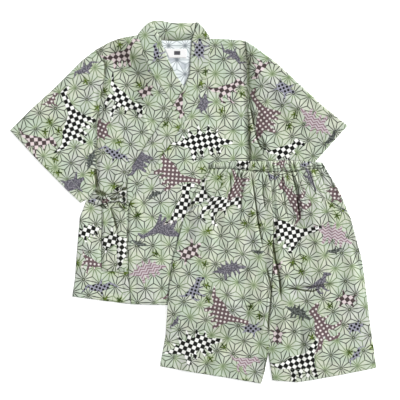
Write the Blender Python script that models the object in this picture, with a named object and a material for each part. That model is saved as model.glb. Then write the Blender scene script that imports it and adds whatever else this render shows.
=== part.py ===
"""A child's jinbei set laid flat: a wrapped jacket with wide sleeves and a side tie, and gathered shorts.

The set lies on the ground plane, seen from above. +X is the right of the laid garment, +Y its top and +Z up.
Plans are in millimetres, from the middle of the laid set, and become metres when a mesh is made.
Right and left in the names are the wearer's, so a right piece lies at -X.
"""

import math

import bmesh
import bpy

MM = 0.001

# Cloth walls, in millimetres. A layer is one wall and the space to the next.
WALL = 1.2
SEAM_GAP = 0.3
LAYER = WALL + SEAM_GAP
SEAM_INSET = 0.2

# Every edge is a table of x mm, y mm, from its bottom up or from left to right. Jacket body first.
SIDE_RIGHT = [(-236, -184), (-231, -152), (-226, -86), (-221, -30), (-208, 5), (-188, 29)]
SIDE_LEFT = [(159, -185), (156, -152), (152, -86), (146, -29), (134, 4), (113, 29)]
ARMHOLE_RIGHT = [(-188, 29), (-188, 62), (-189, 101), (-188, 144), (-180, 199), (-172, 242), (-171, 271)]
ARMHOLE_RIGHT += [(-190, 297)]
ARMHOLE_LEFT = [(113, 29), (110, 82), (107, 144), (105, 205), (104, 271), (100, 315)]
SHOULDER_RIGHT = [(-190, 297), (-163, 312), (-141, 320), (-108, 326)]
SHOULDER_LEFT = [(32, 319), (62, 318), (100, 315)]
BACK_NECK = [(-108, 326), (-81, 317), (-38, 314), (5, 317), (32, 319)]
HEM_BACK = [(-236, -184), (-170, -193), (-121, -199), (-36, -201), (42, -199), (101, -194), (159, -185)]
HEM_INNER = HEM_BACK[:5]
HEM_OUTER = HEM_BACK[2:]

# The collar band: its seam to each front, and its free edge, which makes the V of the neck.
BAND_SEAM_RIGHT = [(43, 20), (27, 82), (3, 123), (-24, 166), (-51, 207), (-77, 242), (-92, 273), (-99, 300)]
BAND_SEAM_RIGHT += [(-108, 326)]
BAND_EDGE_RIGHT = [(46, 22), (56, 53), (60, 82), (46, 121), (19, 170), (-12, 215), (-34, 248), (-49, 279)]
BAND_EDGE_RIGHT += [(-58, 300), (-64, 320), (-82, 350)]
BAND_SEAM_LEFT = [(-125, -2), (-110, 23), (-88, 51), (-49, 107), (-3, 179), (24, 234), (33, 277), (32, 319)]
BAND_EDGE_LEFT = [(-128, 2), (-129, 27), (-127, 55), (-118, 72), (-86, 121), (-36, 193), (-17, 226)]
BAND_EDGE_LEFT += [(-7, 250), (-6, 277), (-3, 316), (7, 350)]
BAND_TURN_RIGHT = [(-108, 326), (-98, 340), (-82, 350)]
BAND_TURN_LEFT = [(7, 350), (19, 340), (32, 319)]
BAND_TOP = [(-107, 329), (-98, 340), (-88, 350), (-75, 354), (-59, 353), (-40, 349), (-3, 349), (9, 351)]
BAND_TOP += [(19, 341), (33, 322)]
FRONT_EDGE_RIGHT = [(42, -199), (43, 20)]
FRONT_EDGE_LEFT = [(-121, -199), (-125, -152), (-128, -86), (-125, -2)]

# Sleeves: the fold along the top, the cuff and the underarm seam.
SLEEVE_TOP_RIGHT = [(-357, 140), (-317, 180), (-268, 225), (-218, 275), (-190, 297)]
SLEEVE_TOP_LEFT = [(100, 315), (120, 303), (163, 271), (208, 229), (251, 189), (301, 149)]
CUFF_RIGHT = [(-219, -2), (-248, 25), (-303, 81), (-357, 140)]
CUFF_LEFT = [(169, 0), (202, 37), (241, 82), (301, 149)]
UNDERARM_RIGHT = [(-219, -2), (-208, 5), (-188, 29)]
UNDERARM_LEFT = [(113, 29), (134, 4), (169, 0)]

# Where the hidden edge of the inner front lies at each height: y mm, x mm.
INNER_EDGE = [(-201, 42), (23, 45), (53, 56), (82, 60), (121, 46), (170, 19), (215, -12), (248, -34)]
INNER_EDGE += [(300, -58), (350, -82)]
OVERLAP_EASE = 60.0

# Shorts edges.
WAIST_TOP = [(38, 77), (72, 81), (134, 80), (181, 82), (218, 80), (250, 77)]
WAIST_SEAM = [(32, 66), (64, 66), (120, 60), (144, 59), (188, 60), (226, 65), (257, 66)]
WAIST_SEAM_RIGHT = WAIST_SEAM[1:4]
WAIST_SEAM_LEFT = WAIST_SEAM[3:6]
CENTRE_SEAM = [(151, -191), (155, -113), (156, -45), (152, 25), (144, 59)]
CROTCH = (146, -296)
INSEAM_RIGHT = [(132, -354), (139, -331), CROTCH]
INSEAM_LEFT = [(154, -347), CROTCH]
SHORTS_HEM_RIGHT = [(-65, -320), (2, -332), (59, -341), (118, -351), (132, -354)]
SHORTS_HEM_LEFT = [(154, -347), (202, -351), (247, -344), (295, -335), (357, -323)]
POCKET_MOUTH_RIGHT = [(-13, -20), (33, 8), (52, 29), (64, 66)]
POCKET_MOUTH_LEFT = [(303, -22), (257, 8), (237, 29), (226, 65)]
SHORTS_SIDE_RIGHT_LOW = [(-65, -320), (-54, -259), (-48, -172), (-39, -109), (-18, -31), (-13, -20)]
SHORTS_SIDE_LEFT_LOW = [(357, -323), (345, -237), (337, -172), (329, -113), (306, -28), (303, -22)]
SHORTS_SIDE_RIGHT_TOP = [(-11, -16), (5, 23), (32, 66)]
SHORTS_SIDE_LEFT_TOP = [(301, -18), (284, 23), (257, 66)]
WAIST_END_RIGHT = [(32, 66), (38, 77)]
WAIST_END_LEFT = [(257, 66), (250, 77)]

# The shorts lie on the jacket and ease down to the ground past its edges.
JACKET_PLAN = HEM_BACK + SIDE_LEFT[1:5] + CUFF_LEFT + [(100, 315), (-190, 297), (-357, 140), (-219, -2)]
SHORTS_ON_JACKET = 4.8
EASE_START = 10.0
EASE_WIDTH = 60.0
SHORTS_LOOSENESS = 0.8

# Gathers of the elastic waist: how many across the front, how high, where they end, and the sides
# that they spread between: y mm, left x mm, right x mm.
GATHERS = 22
GATHER_HEIGHT = 1.7
GATHER_LEAST = 0.44
GATHER_TOP = 82.0
GATHER_END = -75.0
GATHER_SIDES = [
    (-323, -65, 357),
    (-172, -48, 337),
    (-109, -39, 329),
    (-31, -18, 307),
    (23, 5, 284),
    (66, 32, 257),
    (82, 38, 250),
]
UNEVEN_TURN = 2.4

# Soft folds: from x, y to x, y, height and half width, in mm.
FOLDS_INNER = [
    (-114, 193, -98, 176, 1.2, 10),
    (-98, 176, -92, 130, 1.4, 11),
    (-176, 215, -182, 60, 1.0, 14),
    (-216, -20, -196, -120, 0.9, 16),
]
FOLDS_OUTER = [
    (22, 220, -30, 130, 0.9, 16),
    (84, 240, 78, 120, 1.0, 16),
    (-104, 40, -92, -60, 1.1, 13),
    (-70, -60, -84, -170, 0.9, 15),
]
FOLDS_SLEEVE_RIGHT = [
    (-200, 262, -278, 176, 1.3, 18),
    (-200, 180, -272, 104, 1.2, 20),
    (-204, 96, -236, 48, 1.0, 16),
]
FOLDS_SLEEVE_LEFT = [
    (118, 260, 214, 172, 1.3, 18),
    (111, 187, 134, 103, 1.5, 11),
]
FOLDS_SHORTS = [
    (120, 40, 128, -32, 1.5, 7),
    (128, -32, 137, -80, 1.3, 8),
    (158, -10, 160, -76, 1.5, 7),
    (160, -76, 174, -140, 2.0, 8),
    (174, -140, 172, -186, 1.6, 8),
    (190, 44, 214, -27, 1.3, 9),
    (174, -176, 232, -156, 1.6, 9),
    (232, -156, 306, -152, 1.2, 10),
    (60, -40, 20, -150, 1.0, 18),
    (250, -60, 268, -150, 1.0, 18),
    (84, -250, 40, -310, 0.8, 20),
    (240, -230, 262, -310, 0.8, 20),
]


def ease(share):
    """A smooth step from 0 to 1."""
    share = min(max(share, 0.0), 1.0)
    return share * share * (3.0 - 2.0 * share)


def along(table, at):
    """The second column of a table at this value of its first column, which rises."""
    for (low, first), (high, second) in zip(table, table[1:]):
        if at <= high:
            return first + (second - first) * min(max((at - low) / (high - low), 0.0), 1.0)
    return table[-1][1]


def distance_to_segment(x, y, x0, y0, x1, y1):
    run, rise = x1 - x0, y1 - y0
    share = ((x - x0) * run + (y - y0) * rise) / (run * run + rise * rise)
    share = min(max(share, 0.0), 1.0)
    return math.hypot(x - x0 - share * run, y - y0 - share * rise)


def fold_height(folds, x, y):
    """The highest of the folds that pass this point, each a rounded ridge."""
    highest = 0.0
    for x0, y0, x1, y1, height, half_width in folds:
        away = distance_to_segment(x, y, x0, y0, x1, y1) / half_width
        highest = max(highest, height * (1.0 - ease(away)))
    return highest


def inside_plan(x, y, plan):
    inside = False
    for (x0, y0), (x1, y1) in zip(plan, plan[1:] + plan[:1]):
        if (y0 > y) != (y1 > y) and x < x0 + (y - y0) * (x1 - x0) / (y1 - y0):
            inside = not inside
    return inside


def ground_level(x, y):
    return 0.0


def inner_level(x, y):
    """Underside of the inner front, on the back."""
    return LAYER + fold_height(FOLDS_INNER, x, y)


def outer_level(x, y):
    """Underside of the outer front: over the inner front, and on the back past its edge."""
    past_edge = (x - along(INNER_EDGE, y)) / OVERLAP_EASE
    return LAYER + LAYER * (1.0 - ease(past_edge)) + fold_height(FOLDS_OUTER, x, y)


def tie_level(x, y):
    return inner_level(x, y) + LAYER


def label_level(x, y):
    return LAYER


def sleeve_right_level(x, y):
    """Inside of the sleeve's front, over the wall that lies on the ground."""
    return LAYER + SEAM_GAP + fold_height(FOLDS_SLEEVE_RIGHT, x, y)


def sleeve_left_level(x, y):
    return LAYER + SEAM_GAP + fold_height(FOLDS_SLEEVE_LEFT, x, y)


def bed_level(x, y):
    """What the shorts lie on: the jacket, easing to the ground past its edges."""
    away = 0.0
    if not inside_plan(x, y, JACKET_PLAN):
        sides = zip(JACKET_PLAN, JACKET_PLAN[1:] + JACKET_PLAN[:1])
        away = min(distance_to_segment(x, y, *start, *end) for start, end in sides)
    return SHORTS_ON_JACKET * (1.0 - ease((away - EASE_START) / EASE_WIDTH))


def gather_height(x, y):
    """Gathers that spread from the waist and fade down the legs, each of its own height."""
    left = along([(row_y, row_left) for row_y, row_left, _ in GATHER_SIDES], y)
    right = along([(row_y, row_right) for row_y, _, row_right in GATHER_SIDES], y)
    turn = GATHERS * (x - left) / (right - left)
    uneven = 0.5 + 0.5 * math.sin(UNEVEN_TURN * math.floor(turn + 0.5))
    height = GATHER_HEIGHT * (GATHER_LEAST + (1.0 - GATHER_LEAST) * uneven)
    fade = ease((y - GATHER_END) / (GATHER_TOP - GATHER_END))
    return height * fade * (0.5 + 0.5 * math.cos(2.0 * math.pi * turn))


def shorts_front_level(x, y):
    loose = WALL + SHORTS_LOOSENESS
    return bed_level(x, y) + loose + max(gather_height(x, y), fold_height(FOLDS_SHORTS, x, y))


def stations(edge, count):
    """count + 1 points along an edge, with every point of its table among them."""
    lengths = [math.dist(start, end) for start, end in zip(edge, edge[1:])]
    parts = [1] * len(lengths)
    while sum(parts) < count:
        longest = max(range(len(parts)), key=lambda i: lengths[i] / parts[i])
        parts[longest] += 1
    points = [edge[0]]
    for (x0, y0), (x1, y1), number in zip(edge, edge[1:], parts):
        for step in range(1, number + 1):
            points.append((x0 + (x1 - x0) * step / number, y0 + (y1 - y0) * step / number))
    return points


def patch(left, right, bottom, top, columns, rows):
    """Points of a cloth panel between its four edges, as point[column][row], drawn in by the seam inset."""
    lefts, rights = stations(left, rows), stations(right, rows)
    bottoms, tops = stations(bottom, columns), stations(top, columns)
    point = []
    for i in range(columns + 1):
        u = i / columns
        line = []
        for j in range(rows + 1):
            v = j / rows
            place = []
            for axis in (0, 1):
                ruled = (1 - u) * lefts[j][axis] + u * rights[j][axis]
                ruled += (1 - v) * bottoms[i][axis] + v * tops[i][axis]
                corners = (1 - v) * ((1 - u) * bottoms[0][axis] + u * bottoms[-1][axis])
                corners += v * ((1 - u) * tops[0][axis] + u * tops[-1][axis])
                place.append(ruled - corners)
            line.append(tuple(place))
        point.append(line)
    return drawn_in(point, columns, rows)


def drawn_in(point, columns, rows):
    """The same points, with those on an edge moved towards the next point inside."""
    result = [list(line) for line in point]
    for i in range(columns + 1):
        for j in range(rows + 1):
            beside = ((min(max(i, 1), columns - 1), j), (i, min(max(j, 1), rows - 1)))
            for inner_i, inner_j in beside:
                if (inner_i, inner_j) == (i, j):
                    continue
                share = SEAM_INSET / math.dist(point[i][j], point[inner_i][inner_j])
                x, y = result[i][j]
                x += share * (point[inner_i][inner_j][0] - point[i][j][0])
                y += share * (point[inner_i][inner_j][1] - point[i][j][1])
                result[i][j] = (x, y)
    return result


def cloth(name, colour, roughness=0.9):
    material = bpy.data.materials.new(name)
    material.use_nodes = True
    shader = material.node_tree.nodes["Principled BSDF"]
    shader.inputs["Base Color"].default_value = (*colour, 1.0)
    shader.inputs["Roughness"].default_value = roughness
    shader.inputs["Metallic"].default_value = 0.0
    return material


def finish(name, mesh_points, material):
    """Turns a closed bmesh, in mm, into a named object in metres."""
    bmesh.ops.scale(mesh_points, vec=(MM, MM, MM), verts=mesh_points.verts)
    bmesh.ops.recalc_face_normals(mesh_points, faces=mesh_points.faces)
    mesh = bpy.data.meshes.new(name)
    mesh_points.to_mesh(mesh)
    mesh_points.free()
    mesh.materials.append(material)
    piece = bpy.data.objects.new(name, mesh)
    bpy.context.scene.collection.objects.link(piece)
    return piece


def panel(name, material, edges, columns, rows, level, wall=WALL):
    """A flat panel between its left, right, bottom and top edges, lying at the given level."""
    point = patch(*edges, columns, rows)
    sheet = bmesh.new()
    bmesh.ops.create_grid(sheet, x_segments=columns, y_segments=rows, size=0.5)
    for vertex in sheet.verts:
        i = round((vertex.co.x + 0.5) * columns)
        j = round((vertex.co.y + 0.5) * rows)
        x, y = point[i][j]
        vertex.co = (x, y, level(x, y))
    raised = bmesh.ops.extrude_face_region(sheet, geom=sheet.faces[:])["geom"]
    top = [item for item in raised if isinstance(item, bmesh.types.BMVert)]
    bmesh.ops.translate(sheet, vec=(0.0, 0.0, wall), verts=top)
    return finish(name, sheet, material)


def sleeve(name, material, edges, columns, rows, level):
    """A flattened tube, open at the cuff and the armhole, folded along its top and closed at the underarm."""
    point = patch(*edges, columns, rows)
    tube = bmesh.new()
    outer, inner = [], []
    for line in point:
        ends = []
        for end, beside in ((0, 1), (rows, rows - 1)):
            share = WALL / math.dist(line[end], line[beside])
            x = line[end][0] + share * (line[beside][0] - line[end][0])
            y = line[end][1] + share * (line[beside][1] - line[end][1])
            ends.append((x, y))
        inside = [ends[0]] + line[1:-1] + [ends[1]]
        below = [(x, y, 0.0) for x, y in line]
        above = [(x, y, level(x, y) + WALL) for x, y in line]
        outer.append([tube.verts.new(place) for place in below + above[::-1]])
        below = [(x, y, WALL) for x, y in inside]
        above = [(x, y, level(x, y)) for x, y in inside]
        inner.append([tube.verts.new(place) for place in below + above[::-1]])
    around = len(outer[0])
    for rings in (outer, inner):
        for first, second in zip(rings, rings[1:]):
            for k in range(around):
                after = (k + 1) % around
                tube.faces.new((first[k], first[after], second[after], second[k]))
    for end in (0, columns):
        for k in range(around):
            after = (k + 1) % around
            tube.faces.new((outer[end][k], outer[end][after], inner[end][after], inner[end][k]))
    return finish(name, tube, material)


def knot(name, material, centre, radii):
    """The tied knot: a rounded lump of wound cloth."""
    lump = bmesh.new()
    bmesh.ops.create_icosphere(lump, subdivisions=2, radius=1.0)
    bmesh.ops.scale(lump, vec=radii, verts=lump.verts)
    bmesh.ops.translate(lump, vec=centre, verts=lump.verts)
    return finish(name, lump, material)


for old in list(bpy.data.objects):
    bpy.data.objects.remove(old)

jacket_cloth = cloth("jacket_cloth", (0.55, 0.63, 0.48))
shorts_cloth = cloth("shorts_cloth", (0.53, 0.61, 0.46))
tie_cloth = cloth("tie_cloth", (0.52, 0.60, 0.46))
label_cloth = cloth("label_cloth", (0.88, 0.88, 0.87), 0.6)

# Jacket back, fronts and collar band.
right_edge = SIDE_RIGHT + ARMHOLE_RIGHT[1:]
left_edge = SIDE_LEFT + ARMHOLE_LEFT[1:]
back_top = SHOULDER_RIGHT + BACK_NECK[1:] + SHOULDER_LEFT[1:]
jacket_back = (right_edge, left_edge, HEM_BACK, back_top)
panel("jacket_back", jacket_cloth, jacket_back, 10, 14, ground_level)

front_right = (right_edge, FRONT_EDGE_RIGHT + BAND_SEAM_RIGHT[1:], HEM_INNER, SHOULDER_RIGHT)
front_left = (FRONT_EDGE_LEFT + BAND_SEAM_LEFT[1:], left_edge, HEM_OUTER, SHOULDER_LEFT)
panel("front_right", jacket_cloth, front_right, 14, 22, inner_level)
panel("front_left", jacket_cloth, front_left, 14, 22, outer_level)

collar_back = ([BACK_NECK[0], BAND_TOP[0]], [BACK_NECK[-1], BAND_TOP[-1]], BACK_NECK, BAND_TOP)
band_foot_right = [BAND_SEAM_RIGHT[0], BAND_EDGE_RIGHT[0]]
band_foot_left = [BAND_EDGE_LEFT[0], BAND_SEAM_LEFT[0]]
collar_right = (BAND_SEAM_RIGHT, BAND_EDGE_RIGHT, band_foot_right, BAND_TURN_RIGHT)
collar_left = (BAND_EDGE_LEFT, BAND_SEAM_LEFT, band_foot_left, BAND_TURN_LEFT)
panel("collar_back", jacket_cloth, collar_back, 14, 3, ground_level)
panel("collar_right", jacket_cloth, collar_right, 4, 20, inner_level)
panel("collar_left", jacket_cloth, collar_left, 4, 20, outer_level)

# Sleeves.
sleeve_right = (CUFF_RIGHT, ARMHOLE_RIGHT, UNDERARM_RIGHT, SLEEVE_TOP_RIGHT)
sleeve_left = (ARMHOLE_LEFT, CUFF_LEFT, UNDERARM_LEFT, SLEEVE_TOP_LEFT)
sleeve("sleeve_right", jacket_cloth, sleeve_right, 10, 12, sleeve_right_level)
sleeve("sleeve_left", jacket_cloth, sleeve_left, 10, 12, sleeve_left_level)

# Size label, sewn to the inside of the back below the neck. Its left end is under the collar band.
LABEL_WALL = 1.0
LABEL_FOOT = [(-47, 281), (-13, 281)]
LABEL_HEAD = [(-56, 299), (-13, 299)]
neck_label = ([LABEL_FOOT[0], LABEL_HEAD[0]], [LABEL_FOOT[1], LABEL_HEAD[1]], LABEL_FOOT, LABEL_HEAD)
panel("neck_label", label_cloth, neck_label, 4, 2, label_level, LABEL_WALL)

# Side tie: a strand from the side seam and one from the outer front's edge meet in a knot with two tails.
TIE_SIDE = (
    [(-205, 1), (-189, 25)],
    [(-178, -9), (-175, 13)],
    [(-205, 1), (-178, -9)],
    [(-189, 25), (-175, 13)],
)
TIE_FRONT = (
    [(-162, -3), (-164, 13)],
    [(-130, -13), (-130, 40)],
    [(-162, -3), (-143, 2), (-130, -13)],
    [(-164, 13), (-147, 31), (-130, 40)],
)
TAIL_PARTING = [(-149, -135), (-149.5, -50), (-156, -25), (-161, -12)]
TAIL_BACK = (
    [(-178, -134), (-178, -13)],
    TAIL_PARTING,
    [(-178, -134), (-149, -135)],
    [(-178, -13), (-161, -12)],
)
TAIL_FRONT = (
    TAIL_PARTING,
    [(-130, -136), (-130, -50), (-130, -19)],
    [(-149, -135), (-130, -136)],
    [(-161, -12), (-143, -3), (-130, -19)],
)
panel("tie_side", tie_cloth, TIE_SIDE, 5, 3, tie_level)
panel("tie_front", tie_cloth, TIE_FRONT, 5, 4, tie_level)
panel("tie_tail_back", tie_cloth, TAIL_BACK, 4, 10, tie_level)
panel("tie_tail_front", tie_cloth, TAIL_FRONT, 4, 10, tie_level)
KNOT_CENTRE = (-170.0, 1.0, 6.2)
KNOT_RADII = (7.4, 11.5, 3.0)
knot("tie_knot", tie_cloth, KNOT_CENTRE, KNOT_RADII)

# Shorts: back panels, front panels, the pocket pieces outside the slanted mouths, and the elastic waist.
right_inner = INSEAM_RIGHT + CENTRE_SEAM
left_inner = INSEAM_LEFT + CENTRE_SEAM
right_side = SHORTS_SIDE_RIGHT_LOW + SHORTS_SIDE_RIGHT_TOP
left_side = SHORTS_SIDE_LEFT_LOW + SHORTS_SIDE_LEFT_TOP
shorts_back_right = (right_side, right_inner, SHORTS_HEM_RIGHT, WAIST_SEAM[:4])
shorts_back_left = (left_inner, left_side, SHORTS_HEM_LEFT, WAIST_SEAM[3:])
panel("shorts_back_right", shorts_cloth, shorts_back_right, 12, 16, bed_level)
panel("shorts_back_left", shorts_cloth, shorts_back_left, 12, 16, bed_level)

right_mouth_side = SHORTS_SIDE_RIGHT_LOW + POCKET_MOUTH_RIGHT[1:]
left_mouth_side = SHORTS_SIDE_LEFT_LOW + POCKET_MOUTH_LEFT[1:]
shorts_front_right = (right_mouth_side, right_inner, SHORTS_HEM_RIGHT, WAIST_SEAM_RIGHT)
shorts_front_left = (left_inner, left_mouth_side, SHORTS_HEM_LEFT, WAIST_SEAM_LEFT)
panel("shorts_front_right", shorts_cloth, shorts_front_right, 38, 16, shorts_front_level)
panel("shorts_front_left", shorts_cloth, shorts_front_left, 38, 16, shorts_front_level)

POCKET_FOOT_RIGHT = [SHORTS_SIDE_RIGHT_TOP[0], POCKET_MOUTH_RIGHT[1]]
POCKET_FOOT_LEFT = [POCKET_MOUTH_LEFT[1], SHORTS_SIDE_LEFT_TOP[0]]
pocket_right = (SHORTS_SIDE_RIGHT_TOP, POCKET_MOUTH_RIGHT[1:], POCKET_FOOT_RIGHT, WAIST_SEAM[:2])
pocket_left = (POCKET_MOUTH_LEFT[1:], SHORTS_SIDE_LEFT_TOP, POCKET_FOOT_LEFT, WAIST_SEAM[5:])
panel("pocket_right", shorts_cloth, pocket_right, 10, 8, shorts_front_level)
panel("pocket_left", shorts_cloth, pocket_left, 10, 8, shorts_front_level)

waist = (WAIST_END_RIGHT, WAIST_END_LEFT, WAIST_SEAM, WAIST_TOP)
panel("waistband_back", shorts_cloth, waist, 14, 2, bed_level)
panel("waistband_front", shorts_cloth, waist, 88, 3, shorts_front_level)
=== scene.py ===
"""A child's jinbei set laid flat: a wrapped jacket with wide sleeves and a side tie, and gathered shorts over it.

Tables are in millimetres, in the plan of the laid set: +X is the picture's right and +Y its top. A piece becomes
metres when its mesh is placed. Right and left in the names are the wearer's, so a right piece lies at -X.
"""

import math

import bmesh
import bpy
import mathutils
import numpy as np
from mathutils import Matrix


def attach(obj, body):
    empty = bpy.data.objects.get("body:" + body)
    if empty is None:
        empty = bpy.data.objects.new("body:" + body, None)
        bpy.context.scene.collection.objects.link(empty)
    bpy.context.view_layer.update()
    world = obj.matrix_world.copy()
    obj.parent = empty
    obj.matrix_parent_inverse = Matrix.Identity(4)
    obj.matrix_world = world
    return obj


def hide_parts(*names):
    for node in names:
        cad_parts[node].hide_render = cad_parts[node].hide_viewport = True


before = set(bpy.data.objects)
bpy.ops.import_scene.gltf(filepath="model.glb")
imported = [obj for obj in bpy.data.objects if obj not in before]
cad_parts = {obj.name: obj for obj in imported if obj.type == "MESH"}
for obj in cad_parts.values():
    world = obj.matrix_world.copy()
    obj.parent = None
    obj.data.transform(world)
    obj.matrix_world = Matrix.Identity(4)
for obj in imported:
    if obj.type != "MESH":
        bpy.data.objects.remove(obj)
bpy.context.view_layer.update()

# Jacket back. One panel of printed cotton from hem to neck, lying right side down, so what shows inside the neck
# is the cloth's pale wrong side. The side and shoulder seams join it to the fronts.
MM = 0.001
CLOTH = 0.8  # how thick one layer of cloth is made
FACE = 0.9  # the height of a layer's upper face over what it lies on
LAYER = 2.2  # how much one layer lifts the next, with the air between
LIGHT = 1.03  # how bright a white cloth comes out in the picture's light
SIDE_RIGHT = [(-236, -184), (-231, -152), (-226, -86), (-221, -30), (-208, 5), (-188, 29)]
SIDE_LEFT = [(159, -185), (156, -152), (152, -86), (146, -29), (134, 4), (113, 29)]
ARMHOLE_RIGHT = [(-188, 29), (-188, 62), (-189, 101), (-188, 144), (-180, 199), (-172, 242), (-171, 271), (-190, 297)]
ARMHOLE_LEFT = [(113, 29), (110, 82), (107, 144), (105, 205), (104, 271), (100, 315)]
SHOULDER_RIGHT = [(-190, 297), (-163, 312), (-141, 320), (-108, 326)]
SHOULDER_LEFT = [(32, 319), (62, 318), (100, 315)]
BACK_NECK = [(-108, 326), (-81, 317), (-38, 314), (5, 317), (32, 319)]
HEM_BACK = [(-236, -184), (-170, -193), (-121, -199), (-36, -201), (42, -199), (101, -194), (159, -185)]


def paint(red, green, blue, light=LIGHT):
    """A colour given as it looks in the picture's light, 0 to 255, in the linear values that a shader takes."""
    shares = [value / 255 for value in (red, green, blue)]
    return (*[(s / 12.92 if s <= 0.04045 else ((s + 0.055) / 1.055) ** 2.4) / light for s in shares], 1.0)


class Wire:
    """One socket among a material's nodes, so that shader maths reads as a Python expression."""

    def __init__(self, tree, socket=None):
        self.tree, self.socket = tree, socket

    def node(self, kind, settings=(), sockets=(), output=0):
        made = self.tree.nodes.new("ShaderNode" + kind)
        for name, value in dict(settings).items():
            setattr(made, name, value)
        for key, value in dict(sockets).items():
            if isinstance(value, Wire):
                self.tree.links.new(value.socket, made.inputs[key])
            else:
                made.inputs[key].default_value = value
        return Wire(self.tree, made.outputs[output])

    def math(self, operation, *values):
        return self.node("Math", {"operation": operation}, dict(enumerate((self, *values))))

    def __add__(self, other):
        return self.math("ADD", other)

    def __sub__(self, other):
        return self.math("SUBTRACT", other)

    def __rsub__(self, other):
        return self.node("Math", {"operation": "SUBTRACT"}, {0: other, 1: self})

    def __mul__(self, other):
        return self.math("MULTIPLY", other)

    def __truediv__(self, other):
        return self.math("DIVIDE", other)

    __radd__, __rmul__ = __add__, __mul__

    def step(self, low, high, from_value=0.0, to_value=1.0):
        """A smooth step as this value goes from low to high."""
        settings = {"interpolation_type": "SMOOTHSTEP"}
        sockets = {"Value": self, "From Min": low, "From Max": high, "To Min": from_value, "To Max": to_value}
        return self.node("MapRange", settings, sockets)

    def blend(self, under, over, how="MIX"):
        """The colour under, and over it where this mask is 1."""
        return self.node("Mix", {"data_type": "RGBA", "blend_type": how}, {0: self, 6: under, 7: over}, 2)


def fabric(name):
    """A new cotton material: its first wire and its shader."""
    material = bpy.data.materials.new(name)
    material.use_nodes = True
    shader = material.node_tree.nodes["Principled BSDF"]
    shader.inputs["Specular IOR Level"].default_value = 0.12
    shader.inputs["Sheen Weight"].default_value = 0.06
    shader.inputs["Sheen Roughness"].default_value = 0.5
    return material, Wire(material.node_tree), shader


def at(start, name, output=1):
    """What the mesh says of each place under this name: output 1 is a vector, 2 a number."""
    return start.node("Attribute", {"attribute_name": name}, output=output)


def parts(vector, count=2):
    return [vector.node("SeparateXYZ", (), {0: vector}, axis) for axis in range(count)]


def noise(place, scale, **more):
    return place.node("TexNoise", (), {"Vector": place, "Scale": scale, **more})


def coat(shader, colour, roughness, relief=None, strength=0.4, distance=0.0003):
    """Gives a shader its colour, its roughness and the small relief of its surface."""
    colour.tree.links.new(colour.socket, shader.inputs["Base Color"])
    colour.tree.links.new(roughness.socket, shader.inputs["Roughness"])
    if relief:
        bump = relief.node("Bump", (), {"Strength": strength, "Distance": distance, "Height": relief})
        colour.tree.links.new(bump.socket, shader.inputs["Normal"])


STAR_PITCH = 32.0
STAR_ROW = STAR_PITCH * math.sqrt(3) / 2
THREAD = 0.55
CHECK_CELL = 7.7
INK_SPREAD = 0.15
DOT_PITCH = 11.2
SMALL_DOT_PITCH = 9.8
ZIGZAG_HALF, ZIGZAG_RISE, ZIGZAG_PITCH = 6.4, 4.6, 5.8
CHECK, MAUVE, PINK, VIOLET, LILAC, DARK, ZIGZAG = range(1, 8)
FOLD_SHADE = (0.2, 0.2, 0.15, 1.0)
SHADE_RANGE = (0.12, 1.3)


def star_lattice(x, y):
    """How far this place is from the nearest line of the hemp-leaf lattice and from the nearest star's centre."""
    shares = []
    for turn in map(math.radians, (90, 210, 330)):
        shares.append(((x * math.cos(turn) + y * math.sin(turn)) / STAR_ROW).math("FRACT"))
    turned = (shares[0] + shares[1] + shares[2]).math("GREATER_THAN", 1.5)
    sides = [(share + turned * (1 - 2 * share)) * STAR_ROW for share in shares]
    nearest = sides[0].math("MINIMUM", sides[1]).math("MINIMUM", sides[2])
    farthest = sides[0].math("MAXIMUM", sides[1]).math("MAXIMUM", sides[2])
    ray = (STAR_ROW - farthest - nearest - nearest) / math.sqrt(3)
    out = STAR_ROW - farthest
    return nearest.math("MINIMUM", ray), (out * out + ray * ray).math("SQRT")


def staggered(x, y, pitch, square=False):
    """How far this place is from the nearest point of a staggered grid, measured for round dots or for squares."""
    away = []
    for shift in (0.0, 0.5):
        across, up = (((way / pitch + shift).math("FRACT") - 0.5) * pitch for way in (x, y))
        if square:
            away.append(across.math("ABSOLUTE").math("MAXIMUM", up.math("ABSOLUTE")))
        else:
            away.append((across * across + up * up).math("SQRT"))
    return away[0].math("MINIMUM", away[1])


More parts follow.
